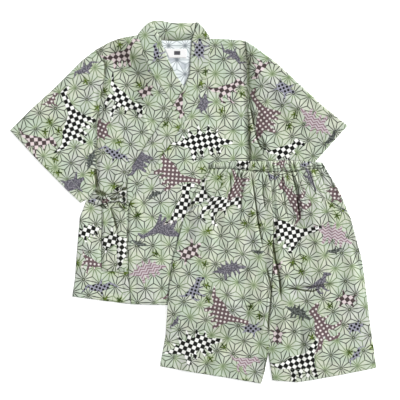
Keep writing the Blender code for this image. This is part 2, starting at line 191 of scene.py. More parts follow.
def printed_cotton(name, shade_setting=1.0):
    """Sage cotton printed with a hemp-leaf lattice, plain animal figures filled with check and dots, and sprigs.

    The print is read from the piece's own attributes: cut is the place on the cloth in mm, figure holds the place
    inside the nearest figure and the distance from its outline, and sprig is the place beside the nearest sprig. The
    attribute hollow is how deep the place lies in a fold or a seam, where the cotton is painted darker as shade. A
    shade setting below 1 paints shade over the whole piece.
    """
    material, start, shader = fabric(name)
    cut = at(start, "cut")
    x, y = parts(cut)
    wash = noise(cut, 0.024, Detail=2.0)
    tint = noise(cut, 0.013, Detail=2.0, Distortion=0.5)
    blot = noise(cut, 0.09, Detail=3.0, Roughness=0.6)
    tone = noise(cut, 0.031, Detail=1.0, Distortion=0.4)
    grain = noise(cut, 0.9, Detail=2.0)
    stretched = start.node("VectorMath", {"operation": "MULTIPLY"}, {0: cut, 1: (0.42, 0.07, 1.0)})
    crepe = noise(stretched, 1.0, Detail=3.0, Distortion=0.6)

    ground = wash.step(0.35, 0.65).blend(paint(196, 209, 192), paint(214, 218, 200))
    ground = tint.step(0.5, 0.66, 0.0, 0.7).blend(ground, paint(206, 208, 205))
    ground = blot.step(0.4, 0.75, 0.0, 0.45).blend(ground, paint(183, 197, 170))
    ground = crepe.step(0.4, 0.7, 0.0, 0.42).blend(ground, paint(178, 190, 171))
    leaf_x, leaf_y = parts(at(start, "sprig"))
    reach = (leaf_x * leaf_x + leaf_y * leaf_y).math("SQRT")
    around = leaf_y.math("ARCTAN2", leaf_x)
    ground = reach.step(3.0, 17.0, 0.55, 0.0).blend(ground, paint(186, 199, 154))

    line, centre = star_lattice(x, y)
    darkness = tone.step(0.41, 0.53)
    ground = (centre.step(0.0, 12.0, 0.5, 0.0) * tone.step(0.41, 0.5, 1.0, 0.0)).blend(ground, paint(178, 195, 138))
    ink = darkness.blend(paint(112, 132, 94), paint(20, 23, 15))
    width = centre.step(0.5, 9.0, 0.4, 0.82)
    strength = (line - width).step(-0.3, 0.4, 1.0, 0.0) * blot.step(0.3, 0.7, 0.9, 1.0)
    ground = strength.blend(ground, ink)
    ring = (centre - 2.0).math("ABSOLUTE").step(0.2, 1.1, 1.0, 0.0)
    ground = (ring * darkness).blend(ground, paint(58, 66, 46))
    ground = (centre.step(0.7, 1.5, 1.0, 0.0) * darkness).blend(ground, paint(176, 186, 160))

    leaf = blot.step(0.35, 0.6).blend(paint(98, 118, 46), paint(48, 66, 18))
    finger = ((around * 5.0).math("COSINE") * 0.5 + 0.5).math("POWER", 1.3)
    limit = (finger * 5.9 + 2.4) * (around.math("COSINE") * 0.2 + 0.85)
    stem = leaf_y.math("ABSOLUTE").math("MAXIMUM", (leaf_x + 5.0).math("ABSOLUTE") - 4.0)
    shape = (reach - limit).math("MINIMUM", stem - 0.8)
    ground = (shape + (grain - 0.5) * 0.8).step(-0.4, 0.4, 1.0, 0.0).blend(ground, leaf)

    across, up, edge = parts(at(start, "figure"), 3)
    inked = CHECK_CELL / 2 + INK_SPREAD
    check = staggered(across, up, 2 * CHECK_CELL, square=True).step(inked, inked + 0.3)
    speckle = noise(cut, 0.34, Detail=1.0).step(0.47, 0.58)
    dots = staggered(across, up, DOT_PITCH).step(1.6, 2.5)
    small_dots = staggered(across, up, SMALL_DOT_PITCH).step(2.1, 2.8)
    folded = (across / ZIGZAG_HALF).math("PINGPONG", 1.0) * ZIGZAG_RISE + up
    zigzag = (folded / ZIGZAG_PITCH).math("FRACT").step(0.3, 0.6)
    kind = at(start, "fill", 2)
    fill = check.blend(paint(4, 4, 4), paint(246, 247, 243))
    for number, mask, under, over in (
        (MAUVE, dots, (234, 228, 224), (106, 86, 90)),
        (PINK, check, (74, 60, 62), (224, 210, 211)),
        (VIOLET, speckle, (82, 80, 90), (136, 133, 143)),
        (LILAC, small_dots, (10, 10, 14), (150, 150, 164)),
        (DARK, speckle, (58, 62, 60), (112, 118, 114)),
        (ZIGZAG, zigzag, (138, 110, 120), (203, 192, 196)),
    ):
        fill = kind.math("COMPARE", float(number), 0.4).blend(fill, mask.blend(paint(*under), paint(*over)))
    worn = grain.step(0.3, 0.75, 0.0, 0.03).blend(fill, paint(190, 196, 182))
    colour = (edge + (blot - 0.5) * 1.2).step(-0.35, 0.35, 1.0, 0.0).blend(ground, worn)
    thread = (x * (math.tau / THREAD)).math("SINE") * (y * (math.tau / THREAD)).math("SINE")
    # Slightly darker along the woven threads; a setting below 1 darkens the whole piece further, as painted shade.
    colour = (thread.step(-1.0, 1.0, 0.0, 0.05) + (1.0 - shade_setting)).blend(colour, paint(70, 76, 60))
    # Painted shade: darker where the cloth lies deep in a fold or a seam, and along soft hollows.
    colour = at(start, "hollow", 2).step(*SHADE_RANGE).blend(colour, FOLD_SHADE, "MULTIPLY")
    coat(shader, colour, grain.step(0.2, 0.8, 0.82, 0.95), thread * 0.4 + grain + crepe * 4.0)
    return material


def wrong_side(name):
    """The same cotton's wrong side: paler and bluer, with the print showing faintly through."""
    material, start, shader = fabric(name)
    cut = at(start, "cut")
    grain = noise(cut, 0.9, Detail=2.0)
    blot = noise(cut, 0.07, Detail=3.0).step(0.35, 0.7)
    patch = noise(cut, 0.035, Detail=1.0).step(0.56, 0.62, 0.0, 0.55)
    ground = patch.blend(blot.blend(paint(236, 241, 243), paint(218, 226, 226)), paint(168, 172, 186))
    line, centre = star_lattice(*parts(cut))
    ink = centre.step(0.0, 12.0).blend(paint(88, 98, 106), paint(140, 152, 156))
    ground = line.step(0.3, 1.1, 0.85, 0.0).blend(ground, ink)
    ground = grain.step(0.2, 0.8, 0.0, 0.15).blend(ground, paint(180, 188, 184))
    # Painted shade in folds and seams, as on the right side.
    ground = at(start, "hollow", 2).step(*SHADE_RANGE).blend(ground, FOLD_SHADE, "MULTIPLY")
    coat(shader, ground, grain.step(0.2, 0.8, 0.85, 0.96), grain, 0.3)
    return material


jacket_print = printed_cotton("jacket_print")
jacket_reverse = wrong_side("jacket_reverse")


def ease(share):
    """A smooth step from 0 to 1."""
    share = np.clip(share, 0.0, 1.0)
    return share * share * (3.0 - 2.0 * share)


FINE = 600


def length_of(line):
    return sum(math.dist(a, b) for a, b in zip(line, line[1:]))


def reached_along(line):
    return np.concatenate([[0], np.cumsum(np.hypot(*np.diff(line, axis=0).T))])


def points_at(share, reached, line):
    return np.column_stack([np.interp(share, reached, way) for way in line.T])


def outline(edge, count, soften=6.0):
    """count + 1 evenly spaced points along an edge, with its corners softened over this many mm."""
    edge = np.array(edge, float)
    reached = reached_along(edge)
    fine = np.linspace(0, reached[-1], FINE + 1)
    line = points_at(fine, reached, edge)
    reach = int(soften / (reached[-1] / FINE))
    if reach > 0 and len(edge) > 2:
        weights = np.hanning(2 * reach + 3)[1:-1]
        longer = np.concatenate([2 * line[0] - line[reach:0:-1], line, 2 * line[-1] - line[-2 : -reach - 2 : -1]])
        line = np.column_stack([np.convolve(way, weights / weights.sum(), "valid") for way in longer.T])
        fine = reached_along(line)
    return points_at(np.linspace(0, fine[-1], count + 1), fine, line)


def between(edges, columns, rows):
    """Places in a cloth between its left, right, bottom and top edges, as place[column, row]."""
    left, right, bottom, top = (outline(e, n) for e, n in zip(edges, (rows, rows, columns, columns)))
    u = np.linspace(0, 1, columns + 1)[:, None, None]
    v = np.linspace(0, 1, rows + 1)[None, :, None]
    ruled = (1 - u) * left[None] + u * right[None] + (1 - v) * bottom[:, None] + v * top[:, None]
    corners = (1 - v) * ((1 - u) * bottom[0] + u * bottom[-1]) + v * ((1 - u) * top[0] + u * top[-1])
    return ruled - corners


def from_straight(x, y, x0, y0, x1, y1):
    """How far each place is from the straight line between two points, and how far along it from 0 to 1."""
    run = np.clip(((x - x0) * (x1 - x0) + (y - y0) * (y1 - y0)) / ((x1 - x0) ** 2 + (y1 - y0) ** 2), 0, 1)
    return np.hypot(x - x0 - run * (x1 - x0), y - y0 - run * (y1 - y0)), run


def nearer(found, best):
    """The found values where the first of them, a distance, is the least so far, and the best so far elsewhere."""
    closer = found[0] < best[0]
    return [np.where(closer, *pair) for pair in zip(found, best)]


def from_line(x, y, line):
    """How far each place is from a line of points, how far along it from 0 to 1, and whether it is on its left."""
    best = [np.full(np.shape(x), 1e9), np.zeros(np.shape(x)), np.zeros(np.shape(x), bool)]
    whole, done = length_of(line), 0.0
    for (x0, y0), (x1, y1) in zip(line, line[1:]):
        away, run = from_straight(x, y, x0, y0, x1, y1)
        length = math.dist((x0, y0), (x1, y1))
        left = (x1 - x0) * (y - y0) - (y1 - y0) * (x - x0) > 0
        best = nearer([away, (done + run * length) / whole, left], best)
        done += length
    return best


def off(x, y, line):
    """How far each place is from a line of points."""
    return from_line(x, y, line)[0]


def creased(x, y, table):
    """Height of soft folds. Each is a line of points, its rise, and how wide it is on its left and on its right."""
    height = np.zeros(np.shape(x))
    for line, rise, on_left, on_right in table:
        away, share, left = from_line(x, y, line)
        fade = ease(np.minimum(share, 1 - share) / 0.2)
        height += rise * fade * (1 - ease(away / np.where(left, on_left, on_right)))
    return height


def swells(x, y, height):
    """Broad soft folds that run roughly up and down, each uneven along its length."""
    bend = x + 14 * np.sin(y / 63 + 0.7) + 7 * np.sin(y / 29 + x / 80)
    along = 0.55 + 0.45 * np.sin(y / 47 + x / 35 + 1.9)
    waves = np.sin(bend * math.tau / 57 + 0.6) + 0.7 * np.sin((bend + 0.35 * y) * math.tau / 83 + 2.1)
    return height * along * (waves + 0.5 * np.sin((bend - 0.2 * y) * math.tau / 31))


def crumpled(x, y, height):
    """The slight unevenness of washed cotton that lies flat."""
    bend_x, bend_y = x + 9 * np.sin(y / 31 + 1.0), y + 8 * np.sin(x / 27 + 0.4)
    waves = [(38, 20, 0.3, 0.35), (27, 78, 1.7, 0.3), (52, 130, 0.9, 0.4), (19, 160, 2.6, 0.18), (23, 45, 4.0, 0.2)]
    total = 0.0
    for length, degrees, phase, share in waves:
        turn = math.radians(degrees)
        total = total + share * np.sin((bend_x * math.cos(turn) + bend_y * math.sin(turn)) * math.tau / length + phase)
    return height * total


def rolled(x, y, *seams):
    """How far cloth drops where it rolls over edges or into seams. Each is a line, the drop and its width."""
    return -sum(drop * (1 - ease(off(x, y, line) / width)) for line, drop, width in seams)


# Figures of the print are plain animals drawn as tapered strokes, in hundredths of the figure's length, from
# x, y, radius to x, y, radius.
LONG_NECK = [
    (-13, 0, 12, 9, 2, 11.5), (-18, 2, 9, -36, 0, 4), (-36, 0, 4, -52, 10, 1), (12, 6, 8, 25, 22, 4.5),
    (25, 22, 4.5, 36, 34, 3.5), (36, 34, 4.2, 47, 31, 2.2), (-15, -6, 5.5, -19, -25, 3.4), (-5, -6, 5, -7, -22, 3),
    (6, -6, 5, 5, -23, 3), (14, -5, 5, 17, -25, 3.3),
]
STRIDER = [
    (-10, 2, 10, 9, 11, 9.5), (12, 14, 7, 20, 26, 5.5), (20, 28, 7, 35, 25, 4), (-15, 1, 7.5, -34, -5, 3.5),
    (-34, -5, 3.5, -52, 2, 1), (-6, -2, 7.5, -14, -16, 4.5), (-14, -16, 4, -6, -28, 2.8), (-6, -28, 2.6, 2, -29, 1.6),
    (2, 2, 7, 7, -14, 4), (7, -14, 3.6, 17, -24, 2.6), (17, -24, 2.4, 24, -24, 1.4), (14, 6, 2.6, 24, 0, 1.4),
]
PLATED = [
    (-17, 0, 11, 11, -1, 10.5), (19, -5, 6, 38, -11, 3), (-24, 0, 7, -50, 6, 1), (-18, -6, 5, -21, -24, 3.4),
    (-8, -6, 4, -8, -21, 2.6), (6, -6, 4, 7, -22, 2.6), (15, -6, 4.5, 18, -22, 3), (-28, 6, 3.5, -32, 15, 0.4),
    (-18, 10, 4.5, -21, 23, 0.4), (-5, 10, 5, -5, 26, 0.4), (8, 9, 4.5, 11, 22, 0.4), (18, 4, 3.5, 23, 13, 0.4),
]
GLIDER = [
    (0, 2, 5.5, 2, -20, 1.2), (2, 5, 5, 10, 22, 1.2), (-3, 2, 6, -28, 13, 3.5), (-28, 13, 3.5, -50, -2, 0.6),
    (-5, -2, 5, -24, 4, 3), (4, 0, 6, 28, 6, 3.5), (28, 6, 3.5, 50, -12, 0.6), (6, -4, 4, 22, -2, 3),
    (0, 8, 3, -9, 14, 0.8),
]
TURTLE = [
    (-8, 0, 19, 10, 0, 18), (30, 3, 7.5, 40, 6, 6), (-22, 0, 5, -40, -4, 1), (16, 12, 6, 28, 33, 2.2),
    (14, -12, 6, 24, -34, 2.2), (-18, 12, 5, -30, 25, 2), (-18, -12, 5, -30, -26, 2),
]


CHECK_TURN, FILL_TURN = 45, 8


def from_strokes(x, y, strokes):
    """Distance in mm outside an outline of tapered strokes, below 0 inside."""
    nearest = np.full(np.shape(x), 1e3)
    for x0, y0, start_radius, x1, y1, end_radius in np.array(strokes) / 100:
        away, run = from_straight(x, y, x0, y0, x1, y1)
        nearest = np.minimum(nearest, away - (start_radius + run * (end_radius - start_radius)))
    return nearest


def turned_about(x, y, centre_x, centre_y, degrees):
    cos, sin = math.cos(math.radians(degrees)), math.sin(math.radians(degrees))
    across, up = x - centre_x, y - centre_y
    return across * cos + up * sin, up * cos - across * sin


def figures_on(x, y, figures):
    """Place inside the nearest figure, distance from it and its fill. Figures: x, y, length, turn, strokes, fill."""
    best = [np.full(np.shape(x), FAR), *(np.zeros(np.shape(x)) for _ in range(3))]
    for centre_x, centre_y, length, degrees, strokes, kind in figures:
        own_x, own_y = turned_about(x, y, centre_x, centre_y, degrees)
        away = length * from_strokes(own_x / length, own_y / length, strokes)
        lay = turned_about(own_x, own_y, 0, 0, CHECK_TURN if kind in (CHECK, PINK) else FILL_TURN)
        best = nearer([away, *lay, kind], best)
    nearest, across, up, fill = best
    return across, up, nearest, fill


SPRIG_PITCH = 80.0
SPRIG_SHIFT = 24.0
SPRIG_REACH = 12.0
SPRIG_ROUND = 125.0
SPRIG_LEAN = 60.0
SPRIG_CLEAR = 7.0
FAR = 60.0  # past the reach of every figure and sprig
HOLLOW_REACH = 7.0
HEM_LIT = 5.0  # a hem's free edge is open to the light
BROAD = 12.0  # a shade this wide is a soft hollow, not a seam


def sprigs_on(x, y, figures, seed):
    """Place beside the nearest sprig. They lie in loose groups of two or three between the figures."""
    chance = np.random.default_rng(seed)
    best = [np.full(np.shape(x), FAR) for _ in range(3)]
    for place_x in np.arange(np.min(x), np.max(x) + SPRIG_PITCH, SPRIG_PITCH):
        for place_y in np.arange(np.min(y), np.max(y) + SPRIG_PITCH, SPRIG_PITCH):
            shift = chance.uniform(-SPRIG_SHIFT, SPRIG_SHIFT, 2)
            turn, count = chance.uniform(0, 360), 2 + int(chance.uniform() < 0.6)
            for number in range(count):
                around = math.radians(turn + SPRIG_ROUND * number)
                reach = SPRIG_REACH + 5 * chance.uniform()
                leaf_x = place_x + shift[0] + reach * math.cos(around)
                leaf_y = place_y + shift[1] + reach * math.sin(around)
                lean = turn + chance.uniform(-SPRIG_LEAN, SPRIG_LEAN)
                if figures_on(np.array(leaf_x), np.array(leaf_y), figures)[2] < SPRIG_CLEAR:
                    continue
                own = turned_about(x, y, leaf_x, leaf_y, lean)
                best = nearer([np.hypot(*own), *own], best)
    return *best[1:], best[0]


def hollows(height, reach):
    """How far each place of a grid of cloth lies below the cloth around it, in mm."""
    weights = np.hanning(2 * reach + 3)[1:-1]
    around = np.pad(height, reach, mode="edge")
    for axis in (0, 1):
        around = np.apply_along_axis(np.convolve, axis, around, weights / weights.sum(), "valid")
    return around - height


def attribute(mesh, name, *columns):
    """Gives each vertex of a mesh a number, or a vector of three."""
    kind, field = ("FLOAT", "value") if len(columns) == 1 else ("FLOAT_VECTOR", "vector")
    data = mesh.attributes.new(name, kind, "POINT").data
    data.foreach_set(field, np.stack(columns, -1).astype(np.float32).ravel())


def printed(mesh, x, y, cut, figures, seed=0):
    """Tells a mesh where its vertices lie on the cut cloth and beside the nearest figure and sprig of the print."""
    attribute(mesh, "cut", *cut, 0 * x)
    across, up, away, fill = figures_on(x, y, figures)
    attribute(mesh, "figure", across, up, away)
    attribute(mesh, "fill", fill)
    attribute(mesh, "sprig", *(sprigs_on(x, y, figures, seed) if seed else (FAR + 0 * x,) * 3))


def plan_area(edges):
    """Area in square metres inside a piece's four edges."""
    left, right, bottom, top = (np.array(edge, float) for edge in edges)
    x, y = np.concatenate([bottom, right, top[::-1], left[::-1]]).T
    return 0.5 * abs(np.dot(x, np.roll(y, -1)) - np.dot(y, np.roll(x, -1))) * MM * MM


def ditched(x, y, seams):
    """Shade in seams and along soft hollows, uneven along each. Seams: a line, its shade and how wide it spreads."""
    shade = np.zeros(np.shape(x))
    for line, shade_setting, width in seams:
        away, share, _ = from_line(x, y, line)
        along = share * length_of(line)
        if width < BROAD:
            uneven = 0.7 + 0.3 * np.sin(along / 11 + 1) * np.sin(along / 4.7)
        else:
            uneven = 0.85 + 0.15 * np.sin(along / 37 + 1)
        shade = np.maximum(shade, shade_setting * uneven * (1 - ease(away / width)))
    return shade


def meshed(name, made):
    """The mesh of what bmesh has made."""
    mesh = bpy.data.meshes.new(name)
    made.to_mesh(mesh)
    made.free()
    return mesh


def places_of(mesh):
    places = np.empty(len(mesh.vertices) * 3)
    mesh.vertices.foreach_get("co", places)
    return places.reshape(-1, 3).T


def gridded(name, columns, rows):
    """A mesh of this many cells, with the column and the row of each vertex."""
    sheet = bmesh.new()
    bmesh.ops.create_grid(sheet, x_segments=columns, y_segments=rows, size=0.5)
    mesh = meshed(name, sheet)
    return mesh, *(np.rint((part + 0.5) * count).astype(int) for part, count in zip(places_of(mesh), (columns, rows)))


def raised(mesh, x, y, z):
    mesh.vertices.foreach_set("co", (np.column_stack([x, y, z]) * MM).ravel())


def put(name, data):
    """A new object in the scene."""
    made = bpy.data.objects.new(name, data)
    bpy.context.scene.collection.objects.link(made)
    return made


def laid(
    name, edges, level, grain=0.0, figures=(), seed=0, spacing=2.0, shade_strength=1.0, faces=(), thick=CLOTH,
    pull=None, seams=(), open_side=None,
):
    """A piece of cloth laid between its edges, its upper face at the given height, printed at the given grain."""
    size = [length_of(edge) for edge in edges]
    rows, columns = round(max(size[:2]) / spacing), round(max(size[2:]) / spacing)
    place = between(edges, columns, rows)
    mesh, i, j = gridded(name, columns, rows)
    x, y = place[i, j].T
    height = level(place[..., 0], place[..., 1])
    raised(mesh, x, y, height[i, j])
    # Painted shade: darker where the cloth lies below the cloth around it, scaled by the piece's shade strength, fading
    # at the lower hem and at an open side, plus the painted shade of the given seams and soft hollows.
    hollow = shade_strength * hollows(height, round(HOLLOW_REACH / spacing)) * ease(np.arange(rows + 1) * spacing / HEM_LIT)
    if open_side:
        hollow = hollow * ease(off(place[..., 0], place[..., 1], open_side) / HEM_LIT)
    attribute(mesh, "hollow", hollow[i, j] + ditched(x, y, seams))
    x, y = pull(x, y) if pull else (x, y)
    printed(mesh, x, y, turned_about(x, y, 0, 0, grain), figures, seed)
    return dressed(name, mesh, faces or (jacket_print, jacket_reverse), thick)


def dressed(name, mesh, faces, thick=CLOTH):
    """Gives a cloth mesh its right and wrong side and its thickness, and makes it ride."""
    mesh.polygons.foreach_set("use_smooth", np.ones(len(mesh.polygons), bool))
    for material in faces:
        mesh.materials.append(material)
    piece = put(name, mesh)
    shell = piece.modifiers.new("cloth", "SOLIDIFY")
    shell.thickness, shell.offset = thick * MM, -1.0
    shell.material_offset = len(faces) - 1
    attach(piece, "root")
    return piece


def stand_for(node, edges, rests_on, share=1.0):
    """Hides the solid that a piece of cloth stands for and works out its cut, which goes no further: share is its
    cut area over its laid area.
    """
    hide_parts(node)
    sides = [length_of(edge) * MM for edge in edges]
    width, area = max(sides[2:]) * share, plan_area(edges) * share
    length = max(*sides[:2], area / width)


RIGHT_EDGE = SIDE_RIGHT + ARMHOLE_RIGHT[1:]
JACKET_SHADE = [
    (ARMHOLE_RIGHT[2:], 0.9, 9), (ARMHOLE_RIGHT[:3], 0.9, 6), (ARMHOLE_LEFT, 0.75, 5), (ARMHOLE_LEFT[1:4], 1.0, 12),
    ([(-191, 62), (-187, 24), (-168, 13)], 2.2, 5.5), ([(104, 222), (111, 184), (120, 142), (129, 108)], 1.0, 8),
    ([(105, 290), (114, 218), (129, 160), (133, 111), (122, 72)], 0.85, 30),
    ([(-143, 296), (-100, 262), (-96, 225), (-108, 186)], 0.72, 54),
    ([(-186, 40), (-176, 4), (-150, -6)], 0.4, 24), ([(-96, 92), (-112, 60), (-120, 30)], 0.4, 16),
    ([(165, 190), (205, 150), (250, 110)], 0.42, 60),
]
LEFT_EDGE = SIDE_LEFT + ARMHOLE_LEFT[1:]
BACK_TOP = SHOULDER_RIGHT + BACK_NECK[1:] + SHOULDER_LEFT[1:]
BACK_EDGES = (RIGHT_EDGE, LEFT_EDGE, HEM_BACK, BACK_TOP)
NECK_CREASES = [
    ([(-60, 312), (-48, 270), (-30, 236)], 0.7, 9, 5),
    ([(-20, 312), (-24, 284), (-34, 262)], 0.6, 5, 8),
]


def back_height(x, y):
    return FACE + creased(x, y, NECK_CREASES) + crumpled(x, y, 0.05)


back = laid("back_panel", BACK_EDGES, back_height, spacing=7.0, faces=(jacket_reverse, jacket_print))
stand_for("jacket_back", BACK_EDGES, ["floor"])

# Right front, the inner one. It wraps under the left front, so only its outer half shows: from the side seam and
# the armhole to the band's edge. The same cotton, its lower edge hemmed and its side joined to the back.
BAND_SEAM_RIGHT = [(43, 20), (27, 82), (3, 123), (-24, 166), (-51, 207), (-77, 242), (-92, 273), (-99, 300)]
BAND_SEAM_RIGHT += [(-108, 326)]
FRONT_EDGE_RIGHT = [(42, -199), (43, 20)]
HEM_INNER = HEM_BACK[:5]
RIGHT_FRONT_EDGES = (RIGHT_EDGE, FRONT_EDGE_RIGHT + BAND_SEAM_RIGHT[1:], HEM_INNER, SHOULDER_RIGHT)
CREASES_RIGHT_FRONT = [
    ([(-124, 210), (-112, 192), (-98, 176), (-92, 158), (-84, 124)], 1.8, 4, 13),
    ([(-175, 288), (-176, 240), (-180, 190), (-186, 130), (-187, 62), (-186, 34)], -1.6, 7, 3),
    ([(-168, 280), (-166, 230), (-170, 170), (-176, 110)], 1.4, 13, 9),
    ([(-148, 250), (-142, 200), (-136, 150)], 0.9, 14, 9),
    ([(-216, -10), (-208, -64), (-196, -130)], 1.3, 8, 14),
    ([(-206, 18), (-214, -14), (-226, -46)], 1.1, 10, 6),
    ([(-136, 84), (-150, 50), (-168, 16)], 1.5, 4, 9),
    ([(-116, 58), (-138, 40), (-162, 14)], 1.4, 4, 8),
    ([(-196, 30), (-186, 60), (-178, 110)], 0.9, 8, 10),
    ([(-224, -110), (-206, -150), (-198, -186)], 1.1, 8, 13),
    ([(-187, 104), (-186, 60), (-184, 22)], -2.0, 4, 3),
    ([(-150, 298), (-138, 260), (-124, 232)], 0.9, 8, 13),
    ([(-190, -30), (-186, -90), (-182, -140)], 1.0, 7, 10),
    ([(-124, 300), (-118, 276), (-112, 250)], -0.8, 4, 4),
    ([(-140, -140), (-136, -170), (-134, -190)], -0.8, 3, 4),
]
HEM_FOLD = 16.0
FRONT_LEAST = FACE + 0.9


def hemmed(x, y, line, width=HEM_FOLD):
    """A turned hem: one more thickness up to its stitching, and a shallow dent at the stitches."""
    away = off(x, y, line)
    fold = 0.35 * (1 - ease((away - width + 1.5) / 3.0))
    return fold - 0.3 * (1 - ease(np.abs(away - width) / 3.0)) - 0.35 * (1 - ease(away / 2.0))


def right_front_height(x, y):
    height = LAYER + FACE + creased(x, y, CREASES_RIGHT_FRONT) + crumpled(x, y, 0.3) + swells(x, y, 0.4)
    height += rolled(x, y, (RIGHT_EDGE, 1.3, 12), (ARMHOLE_RIGHT, 0.8, 3), (SHOULDER_RIGHT, 1.0, 10))
    return np.maximum(height + hemmed(x, y, HEM_INNER), FRONT_LEAST)


FIGURES_RIGHT_FRONT = [
    (-140, 284, 82, 8, LONG_NECK, PINK), (-141, 196, 108, -72, STRIDER, CHECK), (-178, 140, 56, 100, TURTLE, MAUVE),
    (-154, 92, 74, -18, GLIDER, LILAC), (-94, 214, 42, 30, TURTLE, PINK), (-204, -56, 66, 28, PLATED, CHECK),
    (-200, -120, 62, -60, STRIDER, MAUVE), (-182, -168, 78, 14, GLIDER, LILAC), (-222, 2, 40, 80, STRIDER, VIOLET),
    (-70, 258, 54, -40, PLATED, VIOLET),
]
right_front = laid(
    "right_front", RIGHT_FRONT_EDGES, right_front_height, -12.6, FIGURES_RIGHT_FRONT, 11,
    shade_strength=1.05, seams=JACKET_SHADE,
)
stand_for("front_right", RIGHT_FRONT_EDGES, ["back_panel"])

# Left front, the outer one. It lies over the right front, and its free edge runs straight down from the band to
# the hem. Past the inner front's hidden edge it eases down on the back.
SEAM_LEFT = [(-125, -2), (-110, 23), (-88, 51), (-49, 107), (-3, 179), (24, 234), (33, 277), (32, 319)]
FRONT_EDGE_LEFT = [(-121, -199), (-125, -152), (-128, -86), (-125, -2)]
HEM_OUTER = HEM_BACK[2:]
LEFT_FRONT_EDGES = (FRONT_EDGE_LEFT + SEAM_LEFT[1:], LEFT_EDGE, HEM_OUTER, SHOULDER_LEFT)
INNER_EDGE = [(-201, 42), (23, 45), (53, 56), (82, 60), (121, 46), (170, 19), (215, -12), (248, -34), (350, -82)]
OVERLAP_EASE = 60.0
CREASES_LEFT_FRONT = [
    ([(22, 226), (-4, 180), (-34, 124)], 1.1, 9, 16),
    ([(103, 292), (103, 240), (103, 190), (103, 130), (106, 76)], -1.6, 3, 8),
    ([(92, 262), (88, 190), (90, 116), (94, 60)], 1.3, 8, 13),
    ([(60, 250), (56, 190), (66, 130)], 0.9, 14, 9),
    ([(-112, 44), (-108, -10), (-98, -64)], 1.5, 8, 14),
    ([(-72, -56), (-80, -110), (-86, -176)], 1.2, 12, 7),
    ([(-120, 4), (-122, -60), (-119, -140)], 1.0, 9, 4),
    ([(30, 90), (0, 60), (-30, 10), (-40, -50)], 0.9, 16, 10),
    ([(60, 300), (52, 262), (40, 236)], 0.9, 12, 8),
    ([(-60, 90), (-78, 40), (-84, 10)], 0.9, 8, 13),
    ([(-54, -60), (-56, -130), (-60, -190)], 0.9, 13, 8),
    ([(10, 50), (-10, 0), (-22, -60)], 0.8, 9, 14),
]


def on_inner_front(x, y):
    """The level of cloth that lies over the inner front and eases down on the back past its hidden edge."""
    past_edge = (x - np.interp(y, *np.array(INNER_EDGE, float).T)) / OVERLAP_EASE
    return LAYER + LAYER * (1 - ease(past_edge)) + FACE


def left_front_height(x, y):
    height = on_inner_front(x, y) + creased(x, y, CREASES_LEFT_FRONT) + crumpled(x, y, 0.3) + swells(x, y, 0.4)
    height += rolled(x, y, (LEFT_EDGE, 1.3, 12), (ARMHOLE_LEFT, 0.8, 3), (SHOULDER_LEFT, 1.0, 10))
    height += rolled(x, y, (FRONT_EDGE_LEFT, 0.9, 6)) + hemmed(x, y, HEM_OUTER)
    return np.maximum(height, FRONT_LEAST)


FIGURES_LEFT_FRONT = [
    (22, 120, 130, 12, PLATED, CHECK), (-40, 54, 108, -58, LONG_NECK, MAUVE), (66, 216, 80, -12, STRIDER, PINK),
    (78, 288, 66, 150, GLIDER, VIOLET), (-16, -12, 112, 36, STRIDER, CHECK), (-58, -52, 88, 158, LONG_NECK, VIOLET),
    (-106, -82, 44, -10, GLIDER, DARK), (-88, -130, 84, 24, PLATED, ZIGZAG), (-18, -110, 58, -30, TURTLE, PINK),
    (-76, 16, 46, -150, GLIDER, DARK), (-40, -180, 54, 16, STRIDER, MAUVE), (20, 190, 46, 70, TURTLE, VIOLET),
]
left_front = laid(
    "left_front", LEFT_FRONT_EDGES, left_front_height, 1.0, FIGURES_LEFT_FRONT, 12,
    shade_strength=0.95, seams=JACKET_SHADE,
)
stand_for("front_left", LEFT_FRONT_EDGES, ["right_front", "back_panel"])

# Collar band. A long strip cut on the straight grain, folded double and sewn down each slanted front edge and
# round the back neck, where its ends turn over the shoulders. It is thicker than the fronts and rolls at its fold.
BAND = 1.2
BAND_RISE = 0.5
BAND_EDGE_RIGHT = [(46, 22), (56, 53), (60, 82), (46, 121), (19, 170), (-12, 215), (-34, 248), (-49, 279), (-58, 300)]
BAND_EDGE_RIGHT += [(-64, 320), (-82, 350)]
BAND_EDGE_LEFT = [(-128, 2), (-129, 27), (-127, 55), (-118, 72), (-86, 121), (-36, 193), (-17, 226), (-7, 250)]
BAND_EDGE_LEFT += [(-6, 277), (-3, 316), (7, 350)]
BAND_TURN_RIGHT = [(-108, 326), (-98, 340), (-82, 350)]
BAND_TURN_LEFT = [(7, 350), (19, 340), (32, 319)]
BAND_TOP = [(-107, 329), (-98, 340), (-88, 350), (-75, 354), (-59, 353), (-40, 349), (-3, 349), (9, 351), (19, 341)]
BAND_TOP += [(33, 322)]
BAND_BACK_EDGES = ([BACK_NECK[0], BAND_TOP[0]], [BACK_NECK[-1], BAND_TOP[-1]], BACK_NECK, BAND_TOP)
BAND_RIGHT_EDGES = (BAND_SEAM_RIGHT, BAND_EDGE_RIGHT, [BAND_SEAM_RIGHT[0], BAND_EDGE_RIGHT[0]], BAND_TURN_RIGHT)
BAND_LEFT_EDGES = (BAND_EDGE_LEFT, SEAM_LEFT, [BAND_EDGE_LEFT[0], SEAM_LEFT[0]], BAND_TURN_LEFT)
CREASES_BAND = [
    ([(-98, 92), (-76, 118), (-58, 150)], 0.5, 8, 5),
    ([(-30, 176), (-8, 214), (6, 250)], 0.5, 9, 6),
    ([(-78, 300), (-66, 276), (-44, 242)], 0.5, 9, 6),
    ([(-116, 40), (-104, 54), (-96, 70)], 0.7, 7, 4),
]


